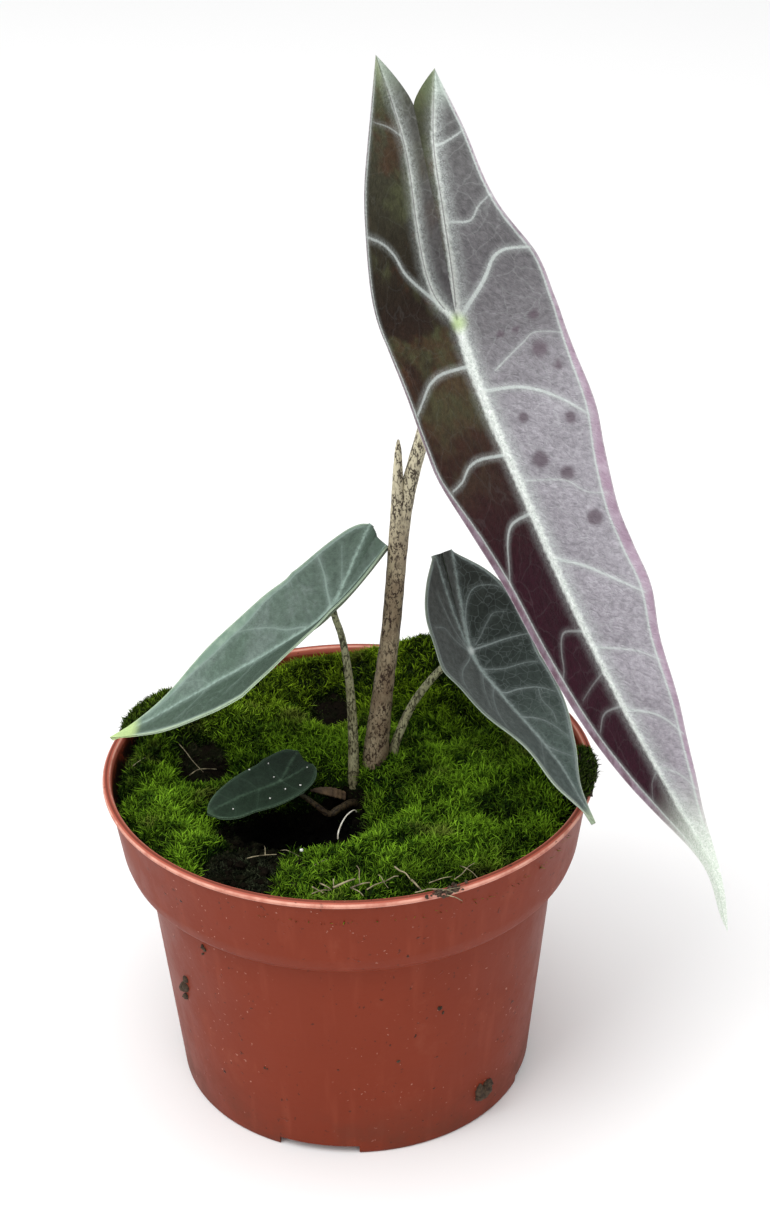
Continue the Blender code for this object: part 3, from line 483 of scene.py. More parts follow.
# Dry twigs and dead stems on the soil: two ends, how far the middle is pushed up, radius
TWIGS = (
    ((-9.1, -52.1, 84.6), (-6.6, -54.5, 84.6), 0.3, 0.18),
    ((-7.3, -51.0, 84.6), (-4.6, -53.5, 84.6), 0.3, 0.20),
    ((-4.4, -52.7, 84.6), (0.7, -49.4, 84.8), 0.3, 0.32),
    ((-4.3, -49.5, 84.9), (-4.1, -52.3, 84.6), 0.1, 0.15),
    ((1.4, -45.0, 85.2), (1.8, -51.4, 84.6), 0.3, 0.14),
    ((-0.5, -52.9, 84.6), (4.2, -51.2, 84.7), 0.3, 0.24),
    ((3.3, -53.9, 84.6), (7.9, -50.6, 84.8), 0.3, 0.17),
    ((9.8, -45.9, 85.2), (13.3, -50.8, 84.9), 0.3, 0.24),
    ((13.3, -50.8, 84.9), (15.6, -54.5, 84.6), 0.2, 0.30),
    ((7.7, -50.6, 84.8), (10.6, -49.1, 84.8), 0.2, 0.15),
    ((-0.5, -52.9, 84.6), (2.6, -56.0, 84.7), 0.2, 0.18),
    ((6.1, -48.1, 84.9), (8.0, -53.7, 84.6), 0.3, 0.13),
    ((-9.1, -54.4, 84.4), (-5.0, -53.4, 84.6), 0.3, 0.15),
    ((23.3, -51.0, 84.8), (28.1, -45.2, 85.2), 0.3, 0.13),
    ((24.6, -46.2, 85.2), (28.5, -50.4, 84.8), 0.3, 0.12),
    ((17.5, -52.2, 84.8), (22.6, -50.1, 85.0), 0.3, 0.13),
    ((-42.1, 15.9, 81.5), (-36.3, 4.4, 81.0), 0.8, 0.14),
    ((-38.9, 1.3, 82.0), (-32.7, 4.1, 81.5), 0.8, 0.16),
    ((-53.4, 5.7, 82.0), (-49.2, 8.7, 82.5), 0.8, 0.13),
    ((16.5, -55.2, 85.5), (23.5, -57.2, 85.6), 0.5, 0.14),
    ((18, -57.6, 85.6), (25, -54.8, 85.5), 0.6, 0.12),
    ((21, -57.8, 85.3), (24.5, -58.6, 84.2), 0.3, 0.13),
    ((14, -56.6, 85.4), (19, -56.2, 85.7), 0.4, 0.12),
)
# The bare white root, the pale grain and the small heap on the rim
ROOT = (
    (1.6, -15.6, 80.6), (0.9, -16.8, 82), (-0.5, -18.4, 82), (-1.5, -19, 81), (-2.5, -20.1, 79.5),
    (-3, -21.2, 78.4), (-3.1, -21.6, 77),
)
ROOT_RADIUS = 0.2
PERLITE = (-11.7, -27.3, 78.0)
PERLITE_RADIUS = 0.45
RIM_DIRT = (21, -56.2, 85.2)
RIM_DIRT_LUMPS = 60
# Moss and soil over the rim: first and last azimuth in degrees, how dull the moss is
RIM_HEAPS = ((-22, 3, 0.75), (141, 164, 0.25))
RIM_SHOOTS = 1700
RIM_LUMPS = 95

# Looks of the stalks: light and dark tone, young colour, marks, and how rare the marks are
STALK_LOOKS = (
    ("stalk_brown", (
        (0.34, 0.28, 0.18), (0.20, 0.145, 0.090), (0.64, 0.59, 0.42), (0.022, 0.010, 0.008), 0.08,
    )),
    ("stalk_pale", (
        (0.38, 0.37, 0.22), (0.19, 0.175, 0.095), (0.33, 0.34, 0.20), (0.030, 0.026, 0.014), 0.08,
    )),
    ("stalk_dim", (
        (0.050, 0.036, 0.018), (0.028, 0.018, 0.010), (0.040, 0.048, 0.026), (0.008, 0.005, 0.004), 0.3,
    )),
)

# Looks of the blades. "left" and "right" are the ground colours of the two halves, as (along, colour).
# Part of how they differ is painted: on the large blade the light right half is painted sheen, and on the
# left and right blades the darker right half is painted shade. A patch and rust lie over the left half
# within patch_reach. band_colours are the dark and light tone of the margin's band, left and right. The
# creases are painted darker and lighter as their shade. The rest are shares, widths and scales.
SPOT_SHARE = 0.8
SPOT_COLOUR = (0.115, 0.085, 0.105)
SEAM_COLOUR = (0.09, 0.07, 0.08)
FROST_LEFT = 0.5  # share of the ribs' frost on the left half
NET_BEND = 2.6
MAIN_STYLE = {
    # The right half's light grey-mauve is painted sheen, the bright surroundings reflected in the glossy
    # blade; the dark left half is nearer the blade's own colour.
    "right": (
        (-55, (0.100, 0.101, 0.096)), (-12, (0.150, 0.144, 0.152)), (4, (0.190, 0.182, 0.194)),
        (26, (0.335, 0.32, 0.35)), (85, (0.36, 0.34, 0.375)), (150, (0.27, 0.24, 0.27)),
    ),
    "left": (
        (-60, (0.095, 0.105, 0.062)), (-34, (0.050, 0.048, 0.030)), (-6, (0.022, 0.013, 0.009)),
        (18, (0.036, 0.019, 0.012)), (36, (0.034, 0.012, 0.011)), (56, (0.029, 0.006, 0.012)),
        (150, (0.034, 0.008, 0.017)),
    ),
    "patch": (0.105, 0.115, 0.052),
    "rust": (0.075, 0.033, 0.018),
    "patch_reach": (0, 46),
    "patch_share": 0.6,
    "mottle": 0.22,
    "crease_shade": 0.12,
    "crease_scale": 0.7,
    "net": 0.10,
    "net_left": 0.25,
    "net_scale": 0.15,
    "net_width": 0.03,
    "vein": (0.60, 0.65, 0.63),
    "vein_width": 0.75,
    "vein_fade": (34, 70),
    "halo": 0.42,
    "core": 0.8,
    "rim_line": 0.36,
    "band": 0.85,
    "band_colours": (
        ((0.19, 0.11, 0.145), (0.34, 0.25, 0.31)), ((0.37, 0.25, 0.335), (0.47, 0.36, 0.445)),
    ),
    "edge": 0.75,
    "edge_width": 0.36,
    "edge_colour": (0.62, 0.58, 0.60),
    "edge_reach": (-70, -60),
    "edge_low": 1.0,
    "ragged": 0.28,
    "frost": 3.6,
    "frost_share": 0.8,
    "rib": (0.95, 0.99, 0.95),
    "rib_dark": (0.48, 0.56, 0.50),
    "rib_core": 0.93,
    "seam": 0.6,
    "heart": (0.50, 0.66, 0.27),
    "tip": (0.96, 1.0, 0.93),
    "tip_dark": (0.62, 0.72, 0.60),
    "ear": (0.22, 0.28, 0.14),
    "ear_right": (0.55, 0.66, 0.57),
    "rough": 0.45,
    "specular": 0.10,
    "quilt": 0.55,
}
SIDE_STYLE = {
    **MAIN_STYLE,
    # The right half is painted darker than the left as painted shade.
    "right": ((-22, (0.045, 0.070, 0.050)), (20, (0.052, 0.082, 0.060)), (60, (0.070, 0.11, 0.080))),
    "left": (
        (-24, (0.055, 0.080, 0.062)), (-4, (0.080, 0.115, 0.092)), (12, (0.10, 0.145, 0.118)),
        (32, (0.105, 0.155, 0.122)), (60, (0.12, 0.18, 0.14)),
    ),
    "patch": (0.155, 0.19, 0.175),
    "rust": (0.075, 0.115, 0.085),
    "patch_reach": (30, 70),
    "patch_share": 0.5,
    "mottle": 0.24,
    "crease_shade": 0.10,
    "crease_scale": 1.3,
    "vein": (0.29, 0.38, 0.34),
    "vein_width": 0.6,
    "vein_fade": (200, 300),
    "core": 0.5,
    "band_colours": (
        ((0.18, 0.27, 0.21), (0.27, 0.37, 0.29)), ((0.33, 0.44, 0.30), (0.50, 0.62, 0.44)),
    ),
    "edge": 0.8,
    "edge_width": 0.5,
    "edge_colour": (0.46, 0.58, 0.42),
    "edge_reach": (-10, 40),
    "edge_low": 0.6,
    "ragged": 0.3,
    "frost": 3.0,
    "frost_share": 0.4,
    "rib": (0.36, 0.48, 0.42),
    "rib_dark": (0.20, 0.28, 0.23),
    "rib_core": 0.8,
    "seam": 0.0,
    "heart": (0.30, 0.39, 0.34),
    "tip": (0.55, 0.70, 0.30),
    "tip_dark": (0.42, 0.56, 0.24),
    "ear": (0.06, 0.09, 0.06),
    "ear_right": (0.06, 0.09, 0.06),
    "rough": 0.48,
    "specular": 0.12,
    "quilt": 0.3,
}
RIGHT_STYLE = {
    **SIDE_STYLE,
    # The right half is painted darker than the left as painted shade.
    "right": (
        (-26, (0.024, 0.027, 0.023)), (-2, (0.022, 0.029, 0.025)), (14, (0.030, 0.041, 0.036)),
        (26, (0.062, 0.084, 0.074)), (50, (0.090, 0.128, 0.112)),
    ),
    "left": (
        (-26, (0.052, 0.054, 0.049)), (0, (0.080, 0.088, 0.083)), (20, (0.086, 0.100, 0.094)),
        (50, (0.090, 0.122, 0.110)),
    ),
    "patch_share": 0.0,
    "mottle": 0.28,
    "net": 0.15,
    "net_left": 0.5,
    "net_scale": 0.42,
    "net_width": 0.05,
    "vein": (0.27, 0.32, 0.31),
    "vein_width": 0.4,
    "halo": 0.36,
    "core": 0.7,
    "band": 0.8,
    "band_colours": (
        ((0.20, 0.26, 0.21), (0.36, 0.44, 0.35)), ((0.18, 0.24, 0.19), (0.34, 0.42, 0.33)),
    ),
    "edge": 0.85,
    "edge_width": 0.6,
    "edge_colour": (0.44, 0.52, 0.42),
    "edge_reach": (12, 42),
    "edge_low": 0.3,
    "frost": 1.7,
    "frost_share": 0.36,
    "rib": (0.33, 0.40, 0.38),
    "rib_dark": (0.20, 0.25, 0.235),
    "heart": (0.55, 0.61, 0.59),
    "tip": (0.50, 0.60, 0.42),
    "tip_dark": (0.32, 0.42, 0.28),
}
SMALL_STYLE = {
    **SIDE_STYLE,
    "right": ((-12, (0.010, 0.020, 0.011)), (20, (0.014, 0.028, 0.016))),
    "left": ((-12, (0.013, 0.024, 0.015)), (20, (0.016, 0.031, 0.019))),
    "patch_share": 0.0,
    "mottle": 0.25,
    "crease_scale": 1.8,
    "net": 0.06,
    "net_scale": 0.8,
    "net_width": 0.08,
    "vein": (0.050, 0.090, 0.058),
    "halo": 0.25,
    "rim_line": 0.2,
    "band_colours": (((0.03, 0.055, 0.035),) * 2,) * 2,
    "edge_width": 0.3,
    "edge_colour": (0.12, 0.19, 0.12),
    "frost": 0.8,
    "frost_share": 0.3,
    "rib": (0.072, 0.125, 0.080),
    "rib_dark": (0.045, 0.08, 0.052),
    "rib_core": 0.7,
    "heart": (0.080, 0.13, 0.085),
    "tip": (0.05, 0.09, 0.05),
    "tip_dark": (0.04, 0.07, 0.04),
}


# Nodes

def feed(socket, value):
    """Sets a number or a colour on a socket, or links a Value to it."""
    if isinstance(value, Value):
        value.paint.tree.links.new(value.socket, socket)
    else:
        socket.default_value = value


class Value:
    """A node's output. Sums on it add more nodes to its material."""

    def __init__(self, paint, socket):
        self.paint = paint
        self.socket = socket

    def math(self, operation, first, second=0.0):
        return self.paint.add("Math", {0: first, 1: second}, operation=operation)

    def __add__(self, other):
        return self.math("ADD", self, other)

    def __sub__(self, other):
        return self.math("SUBTRACT", self, other)

    def __rsub__(self, other):
        return self.math("SUBTRACT", other, self)

    def __mul__(self, other):
        return self.math("MULTIPLY", self, other)

    def __truediv__(self, other):
        return self.math("DIVIDE", self, other)

    def __gt__(self, other):
        return self.math("GREATER_THAN", self, other)

    def __abs__(self):
        return self.math("ABSOLUTE", self)

    def at_least(self, other):
        return self.math("MAXIMUM", self, other)

    def part(self, axis):
        """One number of a vector: 0, 1 or 2 for X, Y or Z."""
        return self.paint.add("SeparateXYZ", {0: self}, axis)

    def remap(self, low, high, start=0.0, end=1.0):
        """Smoothly takes the range low to high over to start to end."""
        inputs = {"Value": self, "From Min": low, "From Max": high, "To Min": start, "To Max": end}
        return self.paint.add("MapRange", inputs, interpolation_type="SMOOTHSTEP")


class Paint:
    """A new material and the nodes that it is given."""

    def __init__(self, name):
        self.made = bpy.data.materials.new(name)
        self.made.use_nodes = True
        self.tree = self.made.node_tree

    def add(self, kind, inputs, output=0, **settings):
        """A new node with its settings and inputs, as the Value of one of its outputs."""
        node = self.tree.nodes.new("ShaderNode" + kind)
        for key, value in settings.items():
            setattr(node, key, value)
        for key, value in inputs.items():
            feed(node.inputs[key], value)
        return Value(self, node.outputs[output])

    def finish(self, colour, roughness, normal=None, specular=None):
        """Feeds the shader: numbers are set on its own sockets, and Values are linked to them."""
        sockets = self.tree.nodes["Principled BSDF"].inputs
        names = ("Base Color", "Roughness", "Normal", "Specular IOR Level")
        for key, value in zip(names, (colour, roughness, normal, specular)):
            if value is not None:
                feed(sockets[key], value)
        return self.made

    def field(self, name, output="Fac"):
        """A mesh attribute."""
        return self.add("Attribute", {}, output, attribute_name=name)

    def here(self, scale=(1, 1, 1)):
        """Object coordinates, stretched by a scale."""
        return self.add("Mapping", {"Vector": self.add("TexCoord", {}, "Object"), "Scale": scale})

    def clouds(self, vector, scale, detail=3.0, roughness=0.55, distortion=0.0):
        inputs = {"Vector": vector, "Scale": scale, "Detail": detail, "Roughness": roughness}
        return self.add("TexNoise", {**inputs, "Distortion": distortion})

    def cells(self, vector, scale, feature="F1", output="Distance"):
        return self.add("TexVoronoi", {"Vector": vector, "Scale": scale}, output, feature=feature)

    def wobble(self, vector, scale, amount):
        """Shifts coordinates by noise, so that what is drawn with them winds."""
        shift = self.add("TexNoise", {"Vector": vector, "Scale": scale, "Detail": 2}, "Color")
        return self.add("VectorMath", {0: shift, 1: (amount,) * 3, 2: vector}, operation="MULTIPLY_ADD")

    def net(self, vector, scale, bend_scale, bend):
        """The distance from the lines of a winding net."""
        return self.cells(self.wobble(vector, bend_scale, bend), scale, "DISTANCE_TO_EDGE")

    def specks(self, vector, scale, rare, size):
        """Uneven small spots in some of the cells of a random pattern."""
        winding = self.wobble(vector, 2.2 * scale, 0.9 / scale)
        spot = self.cells(winding, scale).remap(0.4 * size, size, 1, 0)
        return spot * (self.cells(winding, scale, "F1", "Color") > rare)

    def blend(self, share, first, second, mode="MIX"):
        """Mixes two colours, each a Value or red, green and blue."""
        pair = [(*value, 1) if isinstance(value, tuple) else value for value in (first, second)]
        inputs = {0: share, 6: pair[0], 7: pair[1]}
        return self.add("Mix", inputs, 2, data_type="RGBA", blend_type=mode)

    def shade(self, colour, amount):
        """A colour made darker or lighter by a factor that varies over the surface."""
        return self.blend(1.0, colour, amount, "MULTIPLY")

    def ramp(self, value, stops):
        """A colour that runs through stops of (value, colour)."""
        low, high = stops[0][0], stops[-1][0]
        node = self.tree.nodes.new("ShaderNodeValToRGB")
        elements = node.color_ramp.elements
        for element, stop in ((elements[0], stops[0]), (elements[1], stops[-1])):
            element.color = (*stop[1], 1)
        for where, colour in stops[1:-1]:
            elements.new((where - low) / (high - low)).color = (*colour, 1)
        feed(node.inputs[0], (value - low) / (high - low))
        return Value(self, node.outputs[0])

    def bumps(self, height, strength, distance, before=None):
        inputs = {"Strength": strength, "Distance": distance, "Height": height}
        if before:
            inputs["Normal"] = before
        return self.add("Bump", inputs)


# Materials of the pot and the ground

def lip_layers(paint, colour, here):
    """The salmon lip, with painted highlights along its two crests and a dark line of painted shade for
    the groove between them.
    """
    radius = paint.add("VectorMath", {0: paint.here((1, 1, 0))}, "Value", operation="LENGTH") * (1 / MM)
    lip = paint.blend(paint.clouds(here, 90, 4), (0.33, 0.075, 0.046), (0.47, 0.13, 0.088))
    # Painted shade: a dark line where the groove runs on the lip.
    groove = abs(radius - (RIM_RADIUS - LIP_GROOVE_SHADE))
    lip = paint.blend(groove.remap(0.15, 0.45, 0.75, 0), lip, (0.10, 0.022, 0.013))
    # Painted highlights along the two crests, broken by noise.
    broken_highlight = paint.clouds(here, 240, 3).remap(0.3, 0.6, 0.35, 1)
    for crest, share in LIP_CREST_HIGHLIGHTS:
        away = abs(radius - (RIM_RADIUS - crest))
        lip = paint.blend(away.remap(0.05, 0.26, share, 0) * broken_highlight, lip, (0.80, 0.44, 0.34))
    return paint.blend(paint.field("lip"), colour, lip)


def wall_soil_and_shade(paint, colour, here):
    """Soil stuck to the inner wall under the lip, with painted shade over it, darkest on the left."""
    height = here.part(2).remap(0.0815, 0.0845, 1, 0)
    left = here.part(0).remap(-0.050, 0.0, 1.0, 0.3)
    uneven = paint.clouds(here, 190, 4, 0.7).remap(0.32, 0.5)
    share = paint.field("inside") * height * (left * uneven)
    # Its dark colour is soil and painted shade under the lip and the moss.
    return paint.blend(share, colour, (0.012, 0.006, 0.004))


def pot_material():
    """Brick-red moulded plastic with a paler lip that carries painted highlights and a painted groove
    shade, fine streaks, splashes and specks of soil, and soil and painted shade on the inner wall.
    """
    paint = Paint("pot_plastic")
    here = paint.here()
    colour = paint.blend(paint.clouds(here, 30, 4), (0.165, 0.026, 0.0105), (0.22, 0.037, 0.0165))
    streaks = paint.clouds(paint.here((260, 260, 14)), 1.0, 3)
    colour = paint.blend(streaks.remap(0.5, 0.75, 0, 0.3), colour, (0.28, 0.062, 0.032))
    haze = paint.clouds(here, 55, 6, 0.7)
    colour = paint.blend(haze.remap(0.55, 0.8, 0, 0.3), colour, (0.33, 0.11, 0.07))
    dust = here.part(2).remap(0.0, 0.02, 0.5, 0) * haze.remap(0.4, 0.62)
    colour = paint.blend(dust, colour, (0.10, 0.036, 0.022))
    colour = wall_soil_and_shade(paint, lip_layers(paint, colour, here), here)
    spots = paint.specks(here, 230, 0.56, 0.14)
    kept = paint.clouds(here, 34, 2).remap(0.38, 0.58)
    colour = paint.blend(spots * kept, colour, (0.030, 0.018, 0.013))
    colour = paint.blend(paint.specks(here, 560, 0.60, 0.20) * 0.7, colour, (0.045, 0.020, 0.014))
    splash = paint.clouds(here, 48, 3).remap(0.46, 0.62)
    pale = paint.specks(here, 620, 0.57, 0.17) * splash
    colour = paint.blend(pale * 0.62, colour, (0.55, 0.29, 0.22))
    relief = paint.bumps(paint.clouds(here, 700, 3), 0.12, 0.0004)
    relief = paint.bumps(spots + pale, 0.5, 0.0003, relief)
    return paint.finish(colour, haze.remap(0.3, 0.8, 0.38, 0.6), relief, 0.09)


def soil_material():
    """Dark damp peat, crumbly, with a few pale fibres; where it lies deep it is darkened to nearly black
    by painted shade.
    """
    paint = Paint("peat")
    here = paint.here()
    grain = paint.clouds(here, 900, 5, 0.7)
    colour = paint.blend(grain.remap(0.3, 0.7), (0.0018, 0.0013, 0.0009), (0.010, 0.0072, 0.0045))
    patches = paint.clouds(here, 120, 3)
    colour = paint.blend(patches.remap(0.45, 0.65, 0, 0.7), colour, (0.008, 0.012, 0.004))
    fibres = paint.net(paint.here((1, 0.35, 1)), 700, 400, 0.004)
    threads = fibres.remap(0.02, 0.07, 1, 0) * patches.remap(0.5, 0.66)
    colour = paint.blend(threads * 0.25, colour, (0.11, 0.09, 0.055))
    # Painted shade: the soil is darkened to nearly black where it lies low in the hollow.
    hollow_shade = here.part(2).remap(0.0715, 0.0785, 0.06, 1)
    relief = paint.bumps(threads, 0.6, 0.0005, paint.bumps(grain, 0.9, 0.001))
    return paint.finish(paint.shade(colour, hollow_shade), 1.0, relief, 0.04)


def moss_material():
    """Shoots that are yellow-green at the tip and darkened towards the foot by painted shade down among
    them, in brighter and duller patches.
    """
    paint = Paint("moss")
    here = paint.here()
    chance = paint.field("chance").remap(0.18, 0.85)
    tip = paint.blend(chance, (0.018, 0.070, 0.003), (0.26, 0.50, 0.024))
    back = here.part(1).remap(0.005, 0.045, 0, 0.55)
    tip = paint.blend(back, tip, paint.blend(chance, (0.030, 0.075, 0.002), (0.36, 0.50, 0.014)))
    dull = paint.blend(chance, (0.022, 0.040, 0.006), (0.16, 0.17, 0.036))
    patches = paint.clouds(here, 60, 3) + chance * 0.10
    tip = paint.blend(patches.remap(0.62, 0.74, 0, 0.75), tip, dull)
    tip = paint.shade(tip, paint.clouds(here, 42, 4, 0.6).remap(0.36, 0.6, 0.6, 1.15))
    grey = paint.blend(chance, (0.026, 0.036, 0.015), (0.23, 0.26, 0.14))
    tip = paint.blend(paint.field("thin"), tip, grey)
    # Painted shade down among the shoots: the foot is a much darker copy of the tip's colour.
    foot = paint.shade(tip, (0.04, 0.05, 0.04))
    colour = paint.blend(paint.field("tall").remap(0.2, 0.98), foot, tip)
    return paint.finish(colour, 0.75, specular=0.07)


def plain_material(name, first, second, scale, roughness, bump=0.5):
    """Two tones of one stuff, mixed by fine noise."""
    paint = Paint(name)
    grain = paint.clouds(paint.here(), scale, 4, 0.65)
    colour = paint.blend(grain.remap(0.3, 0.7), first, second)
    return paint.finish(colour, roughness, paint.bumps(grain, bump, 0.0005))


# Materials of the plant

def lamina(paint, flat, weave, style):
    """A blade's ground colour, which changes along it and from half to half, with painted sheen and shade
    in the difference between the halves and painted shade over the creases.
    """
    along = flat.part(0)
    side = paint.field("side")
    # Painted sheen and shade: each half takes its own colour ramp.
    colour = paint.blend(side, paint.ramp(along, style["left"]), paint.ramp(along, style["right"]))
    reach = along.remap(*style["patch_reach"], style["patch_share"], 0) * (1.0 - side)
    for key, scale, low in (("patch", 0.075, 0.47), ("rust", 0.11, 0.5)):
        share = paint.clouds(flat, scale, 3, 0.6).remap(low, 0.66)
        colour = paint.blend(share * reach, colour, style[key])
    mottle, crease_shade = style["mottle"], style["crease_shade"]
    tone = paint.clouds(flat, 0.75, 6, 0.78).remap(0.3, 0.7, 1 - mottle, 1 + mottle)
    colour = paint.shade(colour, tone)
    # Painted shade of the creases: the colour is darkened and lightened along the wrinkles.
    return paint.shade(colour, weave.remap(0.36, 0.64, 1 - crease_shade, 1 + 0.8 * crease_shade))


def margin_layers(paint, colour, flat, grain, style):
    """The vein that runs inside the margin, the band outside it and the thin pale edge."""
    grit = grain.remap(0.3, 0.7, -0.16, 0.16)
    collar = paint.field("collar")
    outer = paint.field("outer")
    swell = flat.part(0).remap(*style["edge_reach"], style["edge_low"], 1)
    tone = paint.clouds(flat, 0.3, 4).remap(0.36, 0.64)
    tones = [paint.blend(tone, dark, light) for dark, light in style["band_colours"]]
    band = collar.remap(-0.45, 0.0, style["band"], 0) * outer
    colour = paint.blend(band * swell, colour, paint.blend(paint.field("side"), *tones))
    edge = (paint.field("rim") + grit).remap(0.0, style["edge_width"], style["edge"], 0)
    colour = paint.blend(edge * swell, colour, style["edge_colour"])
    away = abs(collar) + grit
    glow = away.remap(0.0, 1.3, style["halo"] * 0.4, 0) * outer
    colour = paint.blend(glow, colour, style["vein"])
    line = away.remap(0.05, style["rim_line"], 1, 0) * outer
    broken = grain.remap(0.35, 0.55, 0.6 * style["core"], style["core"])
    return paint.blend(line * broken, colour, style["vein"])


def vein_layers(paint, colour, flat, grain, style):
    """Side veins with a soft, grainy halo."""
    grit = grain.remap(0.3, 0.7, -0.18, 0.18)
    near = paint.field("vein")
    half = paint.field("vein_half")
    exact = paint.field("vein_mid") > 0.5
    near = near + exact * (abs(paint.field("vein_side")) - near)
    gap = near - half * style["vein_width"] + grit
    faded = flat.part(0).remap(*style["vein_fade"], 1, 0.42).at_least(paint.field("side"))
    strength = half.remap(0.05, 0.4, 0.45, 1) * faded
    halo = gap.remap(-0.1, 1.5, style["halo"], 0) * grain.remap(0.38, 0.62, 0.15, 1)
    colour = paint.blend(halo * strength, colour, style["vein"])
    core = gap.remap(-0.12, 0.16, style["core"], 0)
    return paint.blend(core * strength, colour, style["vein"])


def rib_layers(paint, colour, flat, grain, style):
    """The broad ribs with their frosted, ragged sides, and the seam down the lobes' ribs."""
    grit = grain.remap(0.3, 0.7, -0.3, 0.3)
    ragged = paint.clouds(flat, 0.9, 4, 0.7).remap(0.3, 0.7, -style["ragged"], style["ragged"])
    rib = paint.field("rib") + ragged
    frost = (rib + grit * 2.0).remap(-0.3, style["frost"], 1, 0)
    frost = frost * grain.remap(0.38, 0.62, 0.15, 1) * style["frost_share"]
    reach = paint.field("side").remap(0.0, 1.0, FROST_LEFT, 1.0)
    colour = paint.blend(frost * reach, colour, style["vein"])
    core = (rib + grit).remap(-0.8, 0.55, style["rib_core"], 0) * paint.field("rib_share")
    tone = paint.blend(grain.remap(0.3, 0.55), style["rib_dark"], style["rib"])
    colour = paint.blend(core, colour, tone)
    seam = paint.field("seam").remap(0.05, 0.3, style["seam"], 0)
    return paint.blend(seam, colour, SEAM_COLOUR)


def end_layers(paint, colour, grain, style):
    """The pale heart over the joint, the tip and the ends of the lobes."""
    colour = paint.blend(paint.field("heart"), colour, style["heart"])
    tips = paint.blend(grain.remap(0.35, 0.65), style["tip_dark"], style["tip"])
    colour = paint.blend(paint.field("tip"), colour, tips)
    ears = paint.blend(paint.field("side"), style["ear"], style["ear_right"])
    return paint.blend(paint.field("ear"), colour, ears)


def blade_material(name, style):
    """The upper face of a blade: lamina with painted sheen and shade on its halves and creases, paler ribs
    and veins, and its own margin.
    """
    paint = Paint(name)
    flat = paint.field("flat", "Vector")
    weave = paint.clouds(paint.field("slant", "Vector"), style["crease_scale"], 5, 0.62, 1.2)
    net = paint.net(flat, style["net_scale"], 0.25, NET_BEND)
    grain = paint.clouds(flat, 2.6, 4, 0.8)
    colour = lamina(paint, flat, weave, style)
    reach = paint.field("side").remap(0, 1, style["net_left"], 1)
    fine = net.remap(0.0, style["net_width"], style["net"], 0)
    colour = paint.blend(fine * reach, colour, style["vein"])
    colour = paint.blend(paint.field("spot") * SPOT_SHARE, colour, SPOT_COLOUR)
    colour = margin_layers(paint, colour, flat, grain, style)
    colour = vein_layers(paint, colour, flat, grain, style)
    colour = rib_layers(paint, colour, flat, grain, style)
    colour = end_layers(paint, colour, grain, style)
    relief = paint.bumps(weave, style["quilt"], 0.0014)
    relief = paint.bumps(net, style["quilt"] * 0.4, 0.0006, relief)
    relief = paint.bumps(grain, style["quilt"] * 0.6, 0.00025, relief)
    gloss = grain.remap(0.3, 0.7, style["rough"], style["rough"] + 0.12)
    return paint.finish(colour, gloss, relief, style["specular"])


def under_material(name, dark, light, vein):
    """The lower face of a blade: plainer, with a faint net, pale veins and paler ribs."""
    paint = Paint(name)
    flat = paint.field("flat", "Vector")
    net = paint.net(flat, 0.32, 0.3, 2.0)
    gap = paint.field("vein") - paint.field("vein_half")
    colour = paint.blend(paint.clouds(flat, 0.3, 4), dark, light)
    lines = ((net, 0.0, 0.1, 0.22), (gap, -0.1, 0.6, 0.65), (paint.field("rib"), -0.6, 0.3, 0.9))
    for away, low, high, share in lines:
        colour = paint.blend(away.remap(low, high, share, 0), colour, vein)
    return paint.finish(colour, 0.55, paint.bumps(net, 0.4, 0.0006), 0.25)


def stalk_material(name, light, dark, young, mark, rare):
    """A pale stalk with fine fibres, many dark marks that run along it and broken cracks."""
    paint = Paint(name)
    here = paint.here()
    colour = paint.blend(paint.clouds(here, 150, 3).remap(0.35, 0.65), light, dark)
    fibres = paint.clouds(paint.here((1, 1, 0.06)), 1500, 3)
    colour = paint.blend(fibres.remap(0.4, 0.7, 0, 0.5), colour, dark)
    colour = paint.blend(paint.field("upper"), colour, young)
    streaks = paint.specks(paint.here((1, 1, 0.4)), 1250, rare, 0.46)
    dots = paint.specks(paint.here((1, 1, 0.6)), 1900, rare + 0.08, 0.42)
    cracks = paint.net(paint.here((1, 1, 0.5)), 720, 900, 0.0012).remap(0.03, 0.11, 1, 0)
    cracks = cracks * paint.clouds(paint.here((1, 1, 0.6)), 1000, 2).remap(0.45, 0.53)
    thick = paint.clouds(here, 200, 3).remap(0.34, 0.5, 0.35, 1)
    marks = streaks.at_least(dots).at_least(cracks) * thick
    colour = paint.blend(marks * 0.92, colour, mark)
    return paint.finish(colour, 0.55, paint.bumps(fibres - marks * 0.6, 0.4, 0.0003), 0.15)


# Meshes

def add_field(mesh, key, values):
    """Gives each point of a mesh a number or a vector."""
    values = np.asarray(values, np.float32)
    kind, item = ("FLOAT", "value") if values.ndim == 1 else ("FLOAT_VECTOR", "vector")
    mesh.attributes.new(key, kind, "POINT").data.foreach_set(item, values.ravel())


def mesh_object(name, points, faces, fields=None, indices=None, smooth=True, weld=0.0):
    """A mesh object from points in mm, with number or vector fields on its points."""
    mesh = bpy.data.meshes.new(name)
    mesh.from_pydata((np.asarray(points) * MM).tolist(), [], faces)
    if indices:
        mesh.polygons.foreach_set("material_index", indices)
    for key, values in (fields or {}).items():
        add_field(mesh, key, values)
    if weld:
        shape = bmesh.new()
        shape.from_mesh(mesh)
        bmesh.ops.remove_doubles(shape, verts=shape.verts, dist=weld * MM)
        shape.to_mesh(mesh)
        shape.free()
    if smooth:
        mesh.shade_smooth()
    return add_object(name, mesh)


def add_object(name, data):
    obj = bpy.data.objects.new(name, data)
    bpy.context.scene.collection.objects.link(obj)
    return obj


